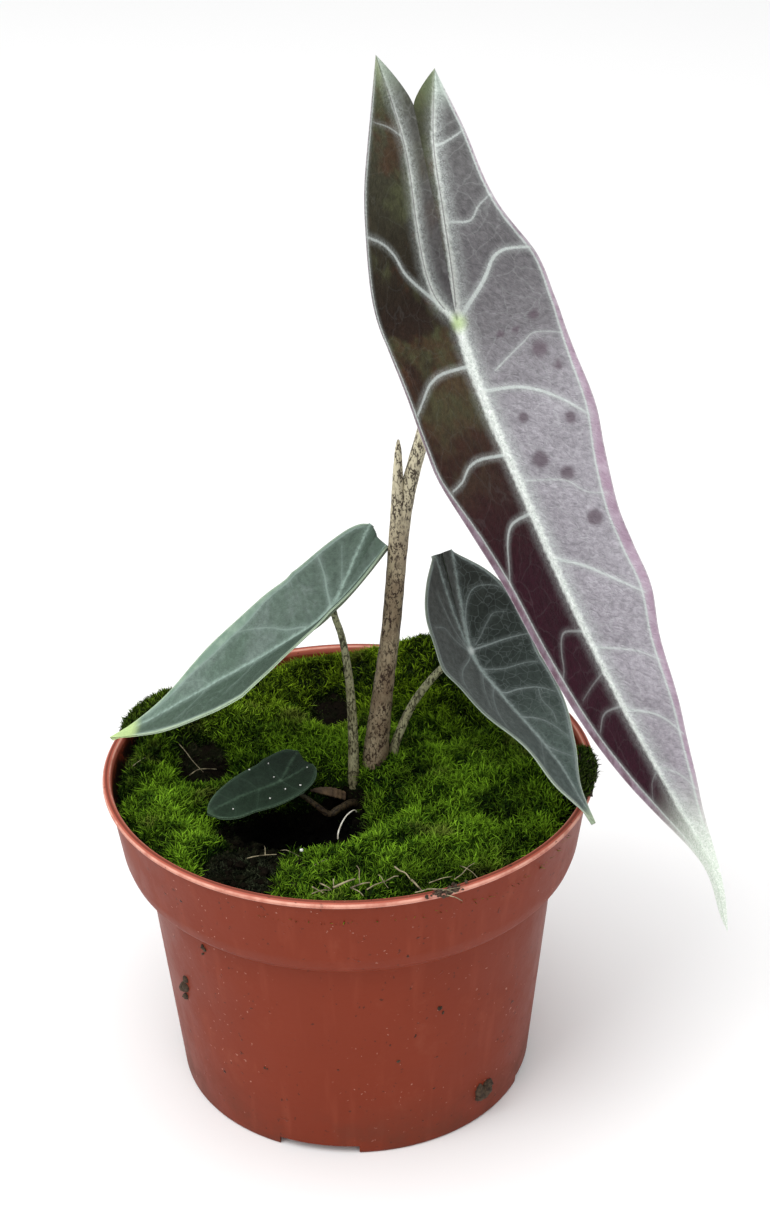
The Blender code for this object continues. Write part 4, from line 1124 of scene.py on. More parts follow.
def dress(obj, material, slot, *nodes):
    """Gives a piece its material and its place on the frame. The slot is not used."""
    obj.data.materials.append(material)
    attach(obj, "root")
    if nodes:
        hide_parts(*nodes)
    return obj


def unit(vectors):
    return vectors / np.linalg.norm(vectors, axis=-1, keepdims=True)


def turns(steps):
    """Angles evenly spaced round a full turn."""
    return np.linspace(0, 2 * math.pi, steps, endpoint=False)


def polar(radius, turn):
    """X and Y at a radius and an angle."""
    return radius * np.cos(turn), radius * np.sin(turn)


def ring(radius, height, steps):
    """Points round a level circle about Z."""
    return np.stack([*polar(radius, turns(steps)), np.full(steps, float(height))], 1)


def band(first, second, steps, flip=False):
    """Quads between two rings of points, given by the index of each ring's first point."""
    faces = []
    for step in range(steps):
        after = (step + 1) % steps
        quad = (first + step, second + step, second + after, first + after)
        faces.append((quad[0], quad[3], quad[2], quad[1]) if flip else quad)
    return faces


def fan(middle, start, steps, flip=False):
    """Triangles from a middle point to a ring of points."""
    pairs = [(start + step, start + (step + 1) % steps) for step in range(steps)]
    return [(middle, after, step) if flip else (middle, step, after) for step, after in pairs]


def wall_faces(rows, columns, start, size, flip):
    """Quads in the given rows between a column of a grid and the same column size points on."""
    faces = []
    for row in rows:
        a = start + row * columns
        quad = (a, a + columns, a + columns + size, a + size)
        faces.append(quad if flip else quad[::-1])
    return faces


def grid_faces(rows, columns, start, flip):
    """Quads between neighbours in a grid of points."""
    r, c = np.meshgrid(np.arange(rows - 1), np.arange(columns - 1), indexing="ij")
    a = (start + r * columns + c).ravel()
    quads = np.stack([a, a + columns, a + columns + 1, a + 1], 1)
    return (quads[:, ::-1] if flip else quads).tolist()


def smooth_curve(points, count):
    """A smooth curve through the points, as count points evenly spaced along it."""
    given = np.asarray(points, float)
    padded = np.vstack([2 * given[0] - given[1], given, 2 * given[-1] - given[-2]])
    t = np.linspace(0, 1, 25)[:, None]
    runs = []
    for a, b, c, d in zip(padded, padded[1:], padded[2:], padded[3:]):
        square, cube = 2 * a - 5 * b + 4 * c - d, 3 * b - a - 3 * c + d
        runs.append(0.5 * (2 * b + (c - a) * t + square * t**2 + cube * t**3)[:-1])
    dense = np.vstack(runs + [given[-1:]])
    steps = np.linalg.norm(np.diff(dense, axis=0), axis=1)
    length = np.concatenate([[0], np.cumsum(steps)])
    stops = np.linspace(0, length[-1], count)
    return np.stack([np.interp(stops, length, column) for column in dense.T], 1)


def smooth_step(value, low, high):
    share = np.clip((value - low) / (high - low), 0, 1)
    return share * share * (3 - 2 * share)


def line_distance(points, line):
    """Distance of flat points from a line, its sign by side, and the share of the line there."""
    best = np.full(points.shape[:-1], 1e9)
    where = np.zeros(points.shape[:-1])
    sign = np.ones(points.shape[:-1])
    for index in range(len(line) - 1):
        start, run = line[index], line[index + 1] - line[index]
        offset = points - start
        share = np.clip((offset @ run) / max(run @ run, 1e-9), 0, 1)
        gap = np.linalg.norm(offset - share[..., None] * run, axis=-1)
        turn = run[0] * offset[..., 1] - run[1] * offset[..., 0]
        closer = gap < best
        best = np.where(closer, gap, best)
        where = np.where(closer, (index + share) / (len(line) - 1), where)
        sign = np.where(closer, np.where(turn < 0, -1.0, 1.0), sign)
    return best, sign, where


# Blades

class Blade:
    """The form of one blade, as places on its two halves."""

    def __init__(self, leaf):
        self.leaf = leaf
        self.path = smooth_curve(leaf["spine"], SPINE_STOPS)
        steps = np.linalg.norm(np.diff(self.path, axis=0), axis=1)
        along = np.concatenate([[0], np.cumsum(steps)])
        joint = np.argmin(np.linalg.norm(self.path - leaf["spine"][leaf["joint"]], axis=1))
        self.along = along - along[joint]
        self.length = self.along[-1]
        self.notch = self.along[0]

    def on_path(self, along):
        return np.stack([np.interp(along, self.along, column) for column in self.path.T], -1)

    def frame(self, along):
        """The spine's place, its side to the right and its upper normal."""
        inside = np.clip(along, self.notch, self.length)
        before = self.on_path(np.clip(inside - 2, self.notch, self.length))
        after = self.on_path(np.clip(inside + 2, self.notch, self.length))
        tangent = unit(after - before)
        place = self.on_path(inside) + tangent * (along - inside)[..., None]
        facing = np.asarray(self.leaf["facing"], float)
        normal = unit(facing - np.sum(facing * tangent, -1, keepdims=True) * tangent)
        return place, np.cross(normal, tangent), normal

    def rib(self, side, along):
        line = smooth_curve(self.leaf[side]["rib"], RIB_STOPS)[::-1]
        return np.interp(along, line[:, 0], line[:, 1])

    def edge(self, side):
        half = self.leaf[side]
        return smooth_curve(((self.length, 0),) + half["edge"] + (half["rib"][-1],), EDGE_STOPS)

    def place(self, side, along, across, lift):
        """Points of one half: a pleat between spine and rib, and beyond it the folded half."""
        place, right, normal = self.frame(along)
        rib = self.rib(side, along)
        inner = np.minimum(across, rib)
        outer = across - inner
        folds = np.asarray(self.leaf[side]["fold"], float)
        fold = np.radians(np.interp(along, folds[:, 0], folds[:, 1]))
        pleat = math.radians(self.leaf["pleat"])
        sideways = inner * math.cos(pleat) + outer * np.cos(fold)
        height = (rib - inner) * math.sin(pleat) + outer * np.sin(fold) + lift
        sign = 1 if side == "right" else -1
        return place + right * (sign * sideways)[..., None] + normal * height[..., None]

    def rows(self, side):
        """Rows from the blade's tip to the lobe's tip: place on the rib and place on the edge."""
        column = 1 if side == "right" else 2
        turn = self.leaf["turn"]
        tip = self.leaf[side]["rib"][-1][0]
        marks = [(self.length, self.length)]
        marks += [(mark[0], mark[column]) for mark in self.leaf["rows"]]
        marks += [(turn, (marks[-1][1] + tip) / 2), (tip, tip)]
        rows = [marks[0]]
        stops = [self.length] + [mark[0] for mark in self.leaf["rows"]] + [turn]
        for index, (rib, edge) in enumerate(marks[:-1]):
            next_rib, next_edge = marks[index + 1]
            gap = max(rib - next_rib, edge - next_edge)
            if index < len(stops) - 1:
                gap = stops[index] - stops[index + 1]
            steps = max(2, math.ceil(gap / self.leaf["spacing"]))
            for step in range(1, steps + 1):
                t = step / steps
                rows.append((rib + (next_rib - rib) * t, edge + (next_edge - edge) * t))
        return np.array(rows)

    def half(self, side):
        """Flat places over the part of one half outside its rib."""
        rows = self.rows(side)
        width = max(across for _, across in self.leaf[side]["edge"])
        c = np.linspace(0, 1, int(width / self.leaf["spacing"]) + 1)[None, :]
        line = self.edge(side)
        reach = np.interp(-rows[:, 1], -line[:, 0], np.arange(len(line)))
        edge_along = np.interp(reach, np.arange(len(line)), line[:, 0])[:, None]
        edge_across = np.interp(reach, np.arange(len(line)), line[:, 1])[:, None]
        rib_along = rows[:, 0:1]
        rib_across = self.rib(side, rib_along)
        along = rib_along + (edge_along - rib_along) * c**ROW_BOW
        across = rib_across + (edge_across - rib_across) * c
        share = np.broadcast_to(c, along.shape)
        return along, across, share, np.clip(edge_across / FREE_WIDTH, 0, 1)

    def lobe(self, side):
        """Flat places of the strip between a lobe's rib and the spine, notch and inner edge."""
        rib_row = self.rows(side)[:, 0]
        rib_row = rib_row[rib_row <= 0]
        tip_along, tip_across = self.leaf[side]["rib"][-1]
        turn = self.leaf["turn"]
        before = np.minimum(rib_row / turn, 1)
        after = np.clip((rib_row - turn) / (tip_along - turn), 0, 1)
        inner_along = (self.notch * before + (tip_along - self.notch) * after)[:, None]
        inner_across = (tip_across * after**1.3)[:, None]
        c = np.linspace(0, 1, LOBE_COLUMNS)[None, :]
        rib_along = rib_row[:, None]
        rib_across = self.rib(side, rib_along)
        along = rib_along + (inner_along - rib_along) * c
        across = rib_across + (inner_across - rib_across) * c
        across = np.clip(across, 0, self.rib(side, along))
        across = np.where(c == 0, rib_across, np.where(c == 1, inner_across, across))
        return along, across, np.broadcast_to(c, along.shape), after > 0


def vein_fields(half, flat):
    """Distance, side, nearness and half width of the nearest side vein at flat places."""
    nearest = {key: np.full(flat.shape[:-1], start) for key, start in VEIN_FIELDS}
    for width, *line in half["veins"]:
        gap, sign, share = line_distance(flat, smooth_curve(line, 5 * len(line)))
        closer = gap < nearest["vein"]
        inside = (gap < 1.1) & (share > 0.03) & (share < 0.97)
        found = {
            "vein": gap,
            "vein_side": np.minimum(gap, 3) * sign,
            "vein_mid": inside * 1.0,
            "vein_half": width * (1.2 - 0.65 * share) / 2,
        }
        for key, values in found.items():
            nearest[key] = np.where(closer, values, nearest[key])
    return nearest


def distances(blade, side, along, across):
    """Distances in mm, in the flattened blade, from the ribs, the veins and the margin."""
    leaf, half = blade.leaf, blade.leaf[side]
    flat = np.stack([along, across], -1)
    spine, _, share = line_distance(flat, np.array([(blade.length, 0.0), (0.0, 0.0)]))
    joint, tip, lobe = leaf["rib_width"]
    front_width = tip + (joint - tip) * share**1.3
    lobe_rib, _, lobe_share = line_distance(flat, smooth_curve(half["rib"], 40))
    lobe_width = lobe + (0.8 * joint - lobe) * (1 - lobe_share) ** 1.2
    found = vein_fields(half, flat)
    found["rim"] = line_distance(flat, blade.edge(side)[::2])[0]
    inset = np.array(half["inset"])
    found["collar"] = found["rim"] - np.interp(along, inset[:, 0], inset[:, 1])
    found["outer"] = np.clip((across - blade.rib(side, along)) / 3, 0, 1)
    found["rib"] = np.minimum(spine - front_width / 2, lobe_rib - lobe_width / 2)
    faint = half.get("lobe_share", 1.0)
    found["rib_share"] = 1 - (1 - faint) * smooth_step(-along, 1, 9)
    found["seam"] = np.where(along < -3, lobe_rib, 3.0)
    return found


def spots_at(along, across, spots):
    """How much each place lies in a round spot, from 0 to 1."""
    found = np.zeros(along.shape)
    for middle_along, middle_across, radius in spots:
        gap = np.hypot(along - middle_along, across - middle_across)
        found = np.maximum(found, 1 - smooth_step(gap, 0.55 * radius, 1.1 * radius))
    return found


def relief(leaf, side, part, along, share, free, fields):
    """How far a grid's middle is lifted, and how far its faces lie above and below that."""
    rib, vein = fields["rib"], fields["vein"] - fields["vein_half"]
    vein = np.minimum(vein, np.abs(fields["collar"]) - leaf["rim_vein"] + 2 * (1 - fields["outer"]))
    if part:
        lift = np.zeros_like(along)
        fade = 1 - share
        vein_ridge = np.zeros_like(along)
    else:
        height, length = leaf["ripple"]
        wave = np.sin(2 * math.pi * along / length + (1 if side == "right" else 2.5))
        puff = leaf["puff"] * np.sin(math.pi * share) * smooth_step(vein, 0, 4)
        lift = free * (puff + height * wave * share**2)
        fade = 1
        vein_ridge = smooth_step(-vein, -0.5, 0.2)
    thin, keel = leaf["thickness"]
    up = thin / 2 + np.maximum(RIB_RISE * smooth_step(-rib, -0.9, 0.4) * fade, VEIN_RISE * vein_ridge)
    down = thin / 2 + np.maximum(keel * smooth_step(-rib, -1.4, 0.9) * fade, VEIN_DROP * vein_ridge)
    return lift, up, down


def paint_fields(blade, side, part, along, across):
    """What the materials need to know at each place, besides the distances."""
    leaf = blade.leaf
    sign = 1 if side == "right" else -1
    lobe_end = leaf[side]["rib"][-1][0]
    start, end, ear_share = leaf["pale"]
    joint = smooth_step(np.hypot(along, across), 0.3, leaf["rib_width"][0] * 1.1)
    slant = (along - 1.1 * across, sign * 0.5 * (1.1 * along + across), np.full(along.shape, 1.3))
    return {
        "flat": np.stack([along, sign * across, np.full(along.shape, 3.7)], -1),
        "slant": np.stack(slant, -1),
        "side": np.full(along.shape, SIDE_SHARES[side][part]),
        "heart": 0.8 * (1 - joint),
        "tip": 0.9 * smooth_step(along, start * blade.length, end * blade.length),
        "ear": ear_share * smooth_step(-along, -0.80 * lobe_end, -0.98 * lobe_end),
        "spot": spots_at(along, across, leaf.get("spots", {}).get(side, ())),
    }


def sheet(blade, side, part):
    """One grid of a blade: its upper and lower points, its fields and which edge rows are free."""
    along, across, share, free = blade.lobe(side) if part else blade.half(side)
    fields = distances(blade, side, along, across)
    lift, up, down = relief(blade.leaf, side, part, along, share, free, fields)
    if part:
        fields["outer"] = np.zeros_like(along)
        fields["vein"] = np.full(along.shape, 9.0)
        fields["vein_mid"] = np.zeros_like(along)
    fields.update(paint_fields(blade, side, part, along, across))
    middle = blade.place(side, along, across, lift)
    normal = blade.frame(along)[2]
    return middle + normal * up[..., None], middle - normal * down[..., None], fields, free


def make_blade(name, leaf, upper, under, slot):
    """One blade as a fine closed sheet: a detailed upper face, a plainer lower one and the edge."""
    blade = Blade(leaf)
    points, faces, indices, fields, count = [], [], [], {}, 0
    for side, part in (("right", 0), ("left", 0), ("right", 1), ("left", 1)):
        top, bottom, values, free = sheet(blade, side, part)
        rows, columns = top.shape[:2]
        size = rows * columns
        flip = (side == "left") != bool(part)
        upper_faces = grid_faces(rows, columns, count, flip)
        lower_faces = grid_faces(rows, columns, count + size, not flip)
        loose = [row for row in range(rows - 1) if not part or free[row + 1]]
        edge = wall_faces(loose, columns, count + columns - 1, size, flip)
        faces += upper_faces + edge + lower_faces
        indices += [0] * (len(upper_faces) + len(edge)) + [1] * len(lower_faces)
        points += [top.reshape(-1, 3), bottom.reshape(-1, 3)]
        for key, value in values.items():
            value = value.reshape((size,) + value.shape[2:])
            fields.setdefault(key, []).extend([value, value])
        count += 2 * size
    fields = {key: np.concatenate(value) for key, value in fields.items()}
    obj = mesh_object(name + "_blade", np.vstack(points), faces, fields, indices, weld=WELD)
    dress(obj, upper, slot, name)
    obj.data.materials.append(under)


# Stalks

def tube(points, radii, sides):
    """Points and faces of a closed round tube."""
    points = np.asarray(points, float)
    tangent = unit(np.gradient(points, axis=0))
    across = np.cross(tangent[0], (0, 0, 1) if abs(tangent[0][2]) < 0.9 else (1, 0, 0))
    turn = turns(sides)[:, None]
    rings = []
    for place, ahead, radius in zip(points, tangent, radii):
        across = unit(across - ahead * (across @ ahead))
        other = np.cross(ahead, across)
        rings.append(place + radius * (np.cos(turn) * across + np.sin(turn) * other))
    last = (len(points) - 1) * sides
    faces = []
    for start in range(0, last, sides):
        faces += band(start, start + sides, sides, flip=True)
    faces += fan(last + sides, 0, sides, flip=True) + fan(last + sides + 1, last, sides)
    return np.vstack(rings + [points[:1], points[-1:]]), faces


def gather(parts):
    """Joins pairs of points and faces into one."""
    points, faces, count = [], [], 0
    for found, own in parts:
        points.append(found)
        faces += [tuple(index + count for index in face) for face in own]
        count += len(found)
    return np.vstack(points), faces


def stalk_tube(stalk, count):
    """A stalk from its table, with slight swellings along it."""
    line = smooth_curve([(*place, radius) for place, radius in stalk], count)
    radii = line[:, 3] * (1 + 0.015 * np.sin(0.9 * np.arange(count)))
    return tube(line[:, :3], radii, STALK_SIDES)


def make_stalk(name, stalk, material, young, sheath=None):
    """One stalk. Its field "upper" says how much of the young colour shows at a height."""
    parts = [stalk_tube(stalk, 150)] + ([stalk_tube(sheath, 70)] if sheath else [])
    points, faces = gather(parts)
    fields = {"upper": smooth_step(points[:, 2], *young)}
    dress(mesh_object(name + "_fine", points, faces, fields), material, "stalk", name)


# Ground

def bump(x, y, size, layer):
    return noise.noise(Vector((x / size, y / size, layer)))


def soil_height(x, y):
    height = SOIL_LEVEL
    for middle_x, middle_y, half_x, half_y, rise in SOIL_RISES:
        height += rise * math.exp(-(((x - middle_x) / half_x) ** 2) - ((y - middle_y) / half_y) ** 2)
    return height + 0.9 * bump(x, y, 9, 0.3) + 0.4 * bump(x, y, 4, 5.3)


def lumps_height(x, y):
    return 1.3 * bump(x, y, 8, 9.1) + 0.9 * bump(x, y, 3.6, 2.7)


def wander(x, y):
    return bump(x, y, 5, 4.4) + 0.6 * bump(x, y, 2.2, 6.4)


def height_map(height):
    """A height at every millimetre of the pot's mouth."""
    span = range(-MAP_HALF, MAP_HALF + 1)
    return np.array([[height(x, y) for x in span] for y in span])


def read_map(grid, x, y):
    column = np.clip(x + MAP_HALF, 0, 2 * MAP_HALF - 0.001)
    row = np.clip(y + MAP_HALF, 0, 2 * MAP_HALF - 0.001)
    i, j = column.astype(int), row.astype(int)
    u, v = column - i, row - j
    near = (1 - u) * grid[j, i] + u * grid[j, i + 1]
    far = (1 - u) * grid[j + 1, i] + u * grid[j + 1, i + 1]
    return (1 - v) * near + v * far


def moss_margin(x, y):
    """Distance to the nearest bare patch or to the mat's outer edge."""
    margin = SOIL_RADIUS - np.hypot(x, y)
    for middle_x, middle_y, half_x, half_y, degrees in BARE_PATCHES:
        turn = math.radians(degrees)
        across = (x - middle_x) * math.cos(turn) + (y - middle_y) * math.sin(turn)
        up = (y - middle_y) * math.cos(turn) - (x - middle_x) * math.sin(turn)
        reach = np.hypot(across / half_x, up / half_y) - 1
        margin = np.minimum(margin, reach * min(half_x, half_y))
    return margin


def in_oval(x, y, oval):
    middle_x, middle_y, half_x, half_y = oval
    return np.hypot((x - middle_x) / half_x, (y - middle_y) / half_y) < 1


class Ground:
    """The levels of the soil and of the moss mat."""

    def __init__(self):
        self.soil_map = height_map(soil_height)
        self.lump_map = height_map(lumps_height)
        self.wander_map = height_map(wander)

    def soil(self, x, y):
        return read_map(self.soil_map, x, y)

    def margin(self, x, y):
        return moss_margin(x, y) + 0.9 * read_map(self.wander_map, x, y)

    def moss(self, x, y):
        """The top of the mat, as it is in the solid."""
        share = np.clip(self.margin(x, y) / MOSS_TAPER, 0, 1)
        body = MOSS_EDGE + MOSS_THICKNESS * np.sqrt(share)
        return self.soil(x, y) + MOSS_LIFT + body + share * read_map(self.lump_map, x, y)


def disc(radius, rings, steps):
    """Places of a round grid, its middle point last, and its faces."""
    r = radius * np.linspace(1 / rings, 1, rings)[:, None]
    x, y = (values.ravel() for values in polar(r, turns(steps)[None, :]))
    last = (rings - 1) * steps
    faces = []
    for start in range(0, last, steps):
        faces += band(start, start + steps, steps)
    return np.append(x, 0), np.append(y, 0), faces + fan(last + steps, 0, steps)


def fine_noise(x, y, size, layer):
    return np.array([bump(a, b, size, layer) for a, b in zip(x, y)])


def wall_radius(wall, height):
    """The radius at a height of a side of the pot that is given from top to bottom."""
    radii, heights = zip(*reversed(wall))
    return float(np.interp(height, heights, radii))


def make_soil(ground, material):
    """Crumbly soil: a fine surface on a plain body that fills the pot."""
    x, y, faces = disc(SOIL_RADIUS + 0.9, SHEET_RINGS, SHEET_STEPS)
    z = ground.soil(x, y) + 0.55 * fine_noise(x, y, 2.3, 1.7) + 0.4 * fine_noise(x, y, 0.9, 8.2)
    points = [np.stack([x, y, z], 1)]
    before, start = (SHEET_RINGS - 1) * SHEET_STEPS, len(x)
    for level in SOIL_LEVELS:
        radius = wall_radius(INNER_WALL[:WALL_POINTS], level) - SOIL_GAP
        points.append(ring(radius, level, SHEET_STEPS))
        faces += band(before, start, SHEET_STEPS)
        before, start = start, start + SHEET_STEPS
    points.append(np.array([[0, 0, SOIL_LEVELS[-1]]]))
    faces += fan(start, before, SHEET_STEPS, flip=True)
    dress(mesh_object("soil_body", np.vstack(points), faces), material, "soil", "soil")


def make_mat(ground, material):
    """The matted foot of the moss, which the shoots stand in, dark with the painted shade of their feet.
    """
    x, y, faces = disc(SOIL_RADIUS + 0.6, MAT_RINGS, MAT_STEPS)
    margin = ground.margin(x, y)
    z = ground.moss(x, y) - MAT_DROP + 0.5 * fine_noise(x, y, 1.6, 3.3)
    z = np.where(margin < 0.6, ground.soil(x, y) - 1.5 * smooth_step(-margin, -0.6, 1.5) - 0.3, z)
    fields = {
        # A low "tall" gives the mat the painted shade of the shoots' feet.
        "tall": 0.16 + 0.2 * fine_noise(x, y, 1.1, 7.7),
        "chance": 0.4 + 0.5 * fine_noise(x, y, 2.0, 2.1),
        "thin": np.zeros(len(x)),
    }
    dress(mesh_object("moss_mat", np.stack([x, y, z], 1), faces, fields), material, "moss", "moss")


def scatter(random, radius, count):
    """Random places spread evenly over a round area."""
    reach = radius * np.sqrt(random.random(count))
    return polar(reach, 2 * math.pi * random.random(count))


def shoot_places(ground, random, count):
    """Feet of the shoots in tufts: dense on the mat, and short on the matted patch."""
    centres = np.stack(scatter(random, SOIL_RADIUS + 0.8, TUFTS), 1)
    swell = random.random(TUFTS)
    own = random.integers(0, TUFTS, 3 * count)
    shift = random.normal(0, 1, (3 * count, 2)) * TUFT_SPREAD * (0.6 + 0.8 * swell[own])[:, None]
    x, y = (centres[own] + shift).T
    margin = ground.margin(x, y)
    ragged = -0.6 - 1.6 * np.clip(read_map(ground.wander_map, 0.8 * y, 0.8 * x), 0, 1)
    left, back, slant = OVERGROWN
    front = (x > left + slant * (y - back)) & (y < back)
    patch = in_oval(x, y, MATTED_PATCH) & ~front
    chance = np.where(patch | front, PATCH_CHANCE, BARE_CHANCE)
    chance = np.where(in_oval(x, y, HOLLOW), 0.0, chance)
    chance = np.where(margin > ragged, 1.0, chance) * (np.hypot(x, y) < SOIL_RADIUS + 1.0)
    kept = np.flatnonzero(random.random(3 * count) < chance)[:count]
    return [values[kept] for values in (x, y, margin, patch, front, shift, swell[own])]


def grow(name, foot, height, lean, chance, thin, random, material):
    """Bent, pointed shoots, each of three triangles."""
    count = len(foot)
    width = SHOOT_WIDTH[0] + (SHOOT_WIDTH[1] - SHOOT_WIDTH[0]) * random.random(count)
    turn = 2 * math.pi * random.random(count)
    flat = np.zeros(count)
    side = np.stack([np.cos(turn), np.sin(turn), flat], 1) * (width / 2)[:, None]
    tilt = np.stack([lean[:, 0], lean[:, 1], flat], 1) * height[:, None]
    rise = np.stack([flat, flat, height], 1)
    middle = foot + 0.55 * rise + 0.32 * tilt
    tip = foot + rise * (1 - 0.28 * np.linalg.norm(lean, axis=1))[:, None] + tilt
    points = np.stack([foot - side, foot + side, middle - 0.85 * side, middle + 0.85 * side, tip], 1)
    start = 5 * np.arange(count)
    quads = np.stack([start, start + 1, start + 3, start + 2], 1).tolist()
    ends = np.stack([start + 2, start + 3, start + 4], 1).tolist()
    reach = np.clip(height / SHOOT_HEIGHT[1], 0.45, 1.0)
    fields = {
        "tall": (reach[:, None] * np.array((0, 0, 0.6, 0.6, 1.0))).ravel(),
        "chance": np.repeat(chance, 5),
        "thin": np.repeat(thin, 5),
    }
    dress(mesh_object(name, points.reshape(-1, 3), quads + ends, fields), material, "moss")


def make_shoots(ground, number, material):
    """One batch of the shoots that spread from their tufts."""
    random = np.random.default_rng(SEEDS["shoots"] + number)
    x, y, margin, patch, front, shift, swell = shoot_places(ground, random, SHOOTS_EACH)
    count = len(x)
    on_mat = smooth_step(margin, -0.6, 0.8)
    soil, moss = ground.soil(x, y), ground.moss(x, y) - MAT_DROP
    foot = np.stack([x, y, soil - 0.3 + on_mat * (moss - soil - 0.3)], 1)
    lush = np.maximum(on_mat, front)
    low, high = SHOOT_HEIGHT
    waves = read_map(ground.wander_map, x * 0.9 + 3, y * 0.9 - 2)
    height = low + (high - low) * random.random(count) ** 1.2
    height = height * (1 + 0.3 * waves) * (0.72 + 0.5 * swell) * (0.45 + 0.55 * lush)
    lean = shift * 0.75 + random.normal(0, 0.55, (count, 2))
    length = np.linalg.norm(lean, axis=1)
    lean = lean / length[:, None] * np.clip(0.6 * length, 0.1, 1.0)[:, None]
    thin = np.clip((patch + 0.5) * (1 - lush), 0, 1)
    bright = np.clip(0.5 * random.random(count) + 0.4 * swell + 0.28 * waves, 0, 1)
    grow(f"moss_shoots_{number}", foot, height, lean, bright, thin, random, material)


def make_rim_moss(material):
    """Moss that has grown over the rim with the soil that lies on it."""
    random = np.random.default_rng(SEEDS["rim moss"])
    feet, leans, thins = [], [], []
    for first, last, thin in RIM_HEAPS:
        turn = np.radians(first + (last - first) * random.random(RIM_SHOOTS))
        ends = np.sin(np.pi * (np.degrees(turn) - first) / (last - first)) ** 0.4
        reach = RIM_RADIUS - 3.6 + (1.4 + 2.6 * ends) * random.random(RIM_SHOOTS)
        level = POT_HEIGHT - 0.6 + (0.6 + 0.5 * ends) * random.random(RIM_SHOOTS)
        feet.append(np.stack([*polar(reach, turn), level], 1))
        outward = np.stack(polar(0.5 * random.random(RIM_SHOOTS), turn), 1)
        leans.append(outward + random.normal(0, 0.3, (RIM_SHOOTS, 2)))
        thins.append(thin * random.random(RIM_SHOOTS))
    foot, lean, thin = np.vstack(feet), np.vstack(leans), np.concatenate(thins)
    height = 0.9 + 1.1 * random.random(len(foot))
    chance = 0.25 + 0.65 * random.random(len(foot))
    grow("moss_on_rim", foot, height, lean, chance, thin, random, material)


# Small things on the soil and on the pot

def ball(level):
    """Points and faces of a round ball of radius 1."""
    shape = bmesh.new()
    bmesh.ops.create_icosphere(shape, subdivisions=level, radius=1)
    points = np.array([vertex.co for vertex in shape.verts])
    faces = [tuple(vertex.index for vertex in face.verts) for face in shape.faces]
    shape.free()
    return points, faces


def lumps(places, radii, random, level=2, uneven=0.35):
    """Uneven lumps at the given places, as one set of points and faces."""
    body, faces = ball(level)
    parts = []
    for place, radius in zip(places, radii):
        shift = Vector(random.random(3) * 50)
        swell = np.array([1 + uneven * noise.noise(Vector(point) * 1.7 + shift) for point in body])
        stretch = 0.7 + 0.6 * random.random(3)
        parts.append((place + body * swell[:, None] * stretch * radius, faces))
    return gather(parts)


def make_small(name, found, material, **more):
    """A piece of small things from their points and faces, dressed as soil."""
    dress(mesh_object(name, *found, **more), material, "soil")


def make_crumbs(ground, material):
    """Loose crumbs of peat where the moss leaves the soil bare."""
    random = np.random.default_rng(SEEDS["crumbs"])
    x, y = scatter(random, SOIL_RADIUS, CRUMB_TRIES)
    pit = in_oval(x, y, PITS[0]) | in_oval(x, y, PITS[1])
    bare = np.flatnonzero((ground.margin(x, y) < 0.5) & ~pit)[:CRUMBS]
    x, y = x[bare], y[bare]
    size = 0.25 + 1.1 * random.random(len(x)) ** 2.5
    z = ground.soil(x, y) + 0.3 * size
    found = lumps(np.stack([x, y, z], 1), size, random, 1, 0.6)
    make_small("soil_crumbs", found, material, smooth=False)


def make_clumps(material):
    """Crumbs of soil that stick to the pot, and the small heap that lies over its rim."""
    random = np.random.default_rng(SEEDS["clumps"])
    places, radii = [], []
    for azimuth, height, radius in POT_CLUMPS:
        turn = math.radians(azimuth)
        for _ in range(max(1, int(4 * radius))):
            jitter = (random.random(2) - 0.5) * radius * 1.2
            angle = turn + jitter[0] / 50
            level = height + jitter[1]
            reach = wall_radius(OUTER_WALL[LIP_POINTS:FOOT_POINT], level) + 0.05
            places.append((*polar(reach, angle), level))
            radii.append(radius * (0.35 + 0.35 * random.random()))
    x, y, z = RIM_DIRT
    for _ in range(RIM_DIRT_LUMPS):
        along, across, up = np.clip(random.normal(0, 1, 3), -2, 2)
        places.append((x + 2.3 * along, y + 0.8 * along + 0.9 * across, z + 0.35 * abs(up) - 0.1))
        radii.append(0.2 + 0.35 * random.random())
    make_small("pot_dirt", lumps(np.array(places), radii, random), material)


def make_rim_heaps(material):
    """Soil that lies over the rim under the moss."""
    random = np.random.default_rng(SEEDS["rim heaps"])
    places, radii = [], []
    for first, last, _ in RIM_HEAPS:
        for share in np.linspace(0.02, 0.98, RIM_LUMPS):
            turn = math.radians(first + (last - first) * share)
            body = math.sin(math.pi * share) ** 0.4
            reach = RIM_RADIUS - 3.2 + (1.2 + 2.2 * body) * random.random()
            level = POT_HEIGHT - 0.4 + 0.5 * body * random.random()
            places.append((*polar(reach, turn), level))
            radii.append(0.35 + 0.45 * random.random())
    make_small("soil_on_rim", lumps(np.array(places), radii, random, 2, 0.6), material)


def stem(start, end, rise, radius, random):
    """A thin, slightly crooked dry stem between two points."""
    start, end = np.array(start, float), np.array(end, float)
    crook = 0.07 * np.linalg.norm(end - start)
    spine = []
    for t in (0, 0.3, 0.65, 1):
        push = (random.random(3) - 0.5) * crook
        spine.append(start + (end - start) * t + push + np.array([0, 0, rise * math.sin(math.pi * t)]))
    line = smooth_curve(spine, 14)
    return tube(line, np.linspace(radius, 0.55 * radius, 14), 6)


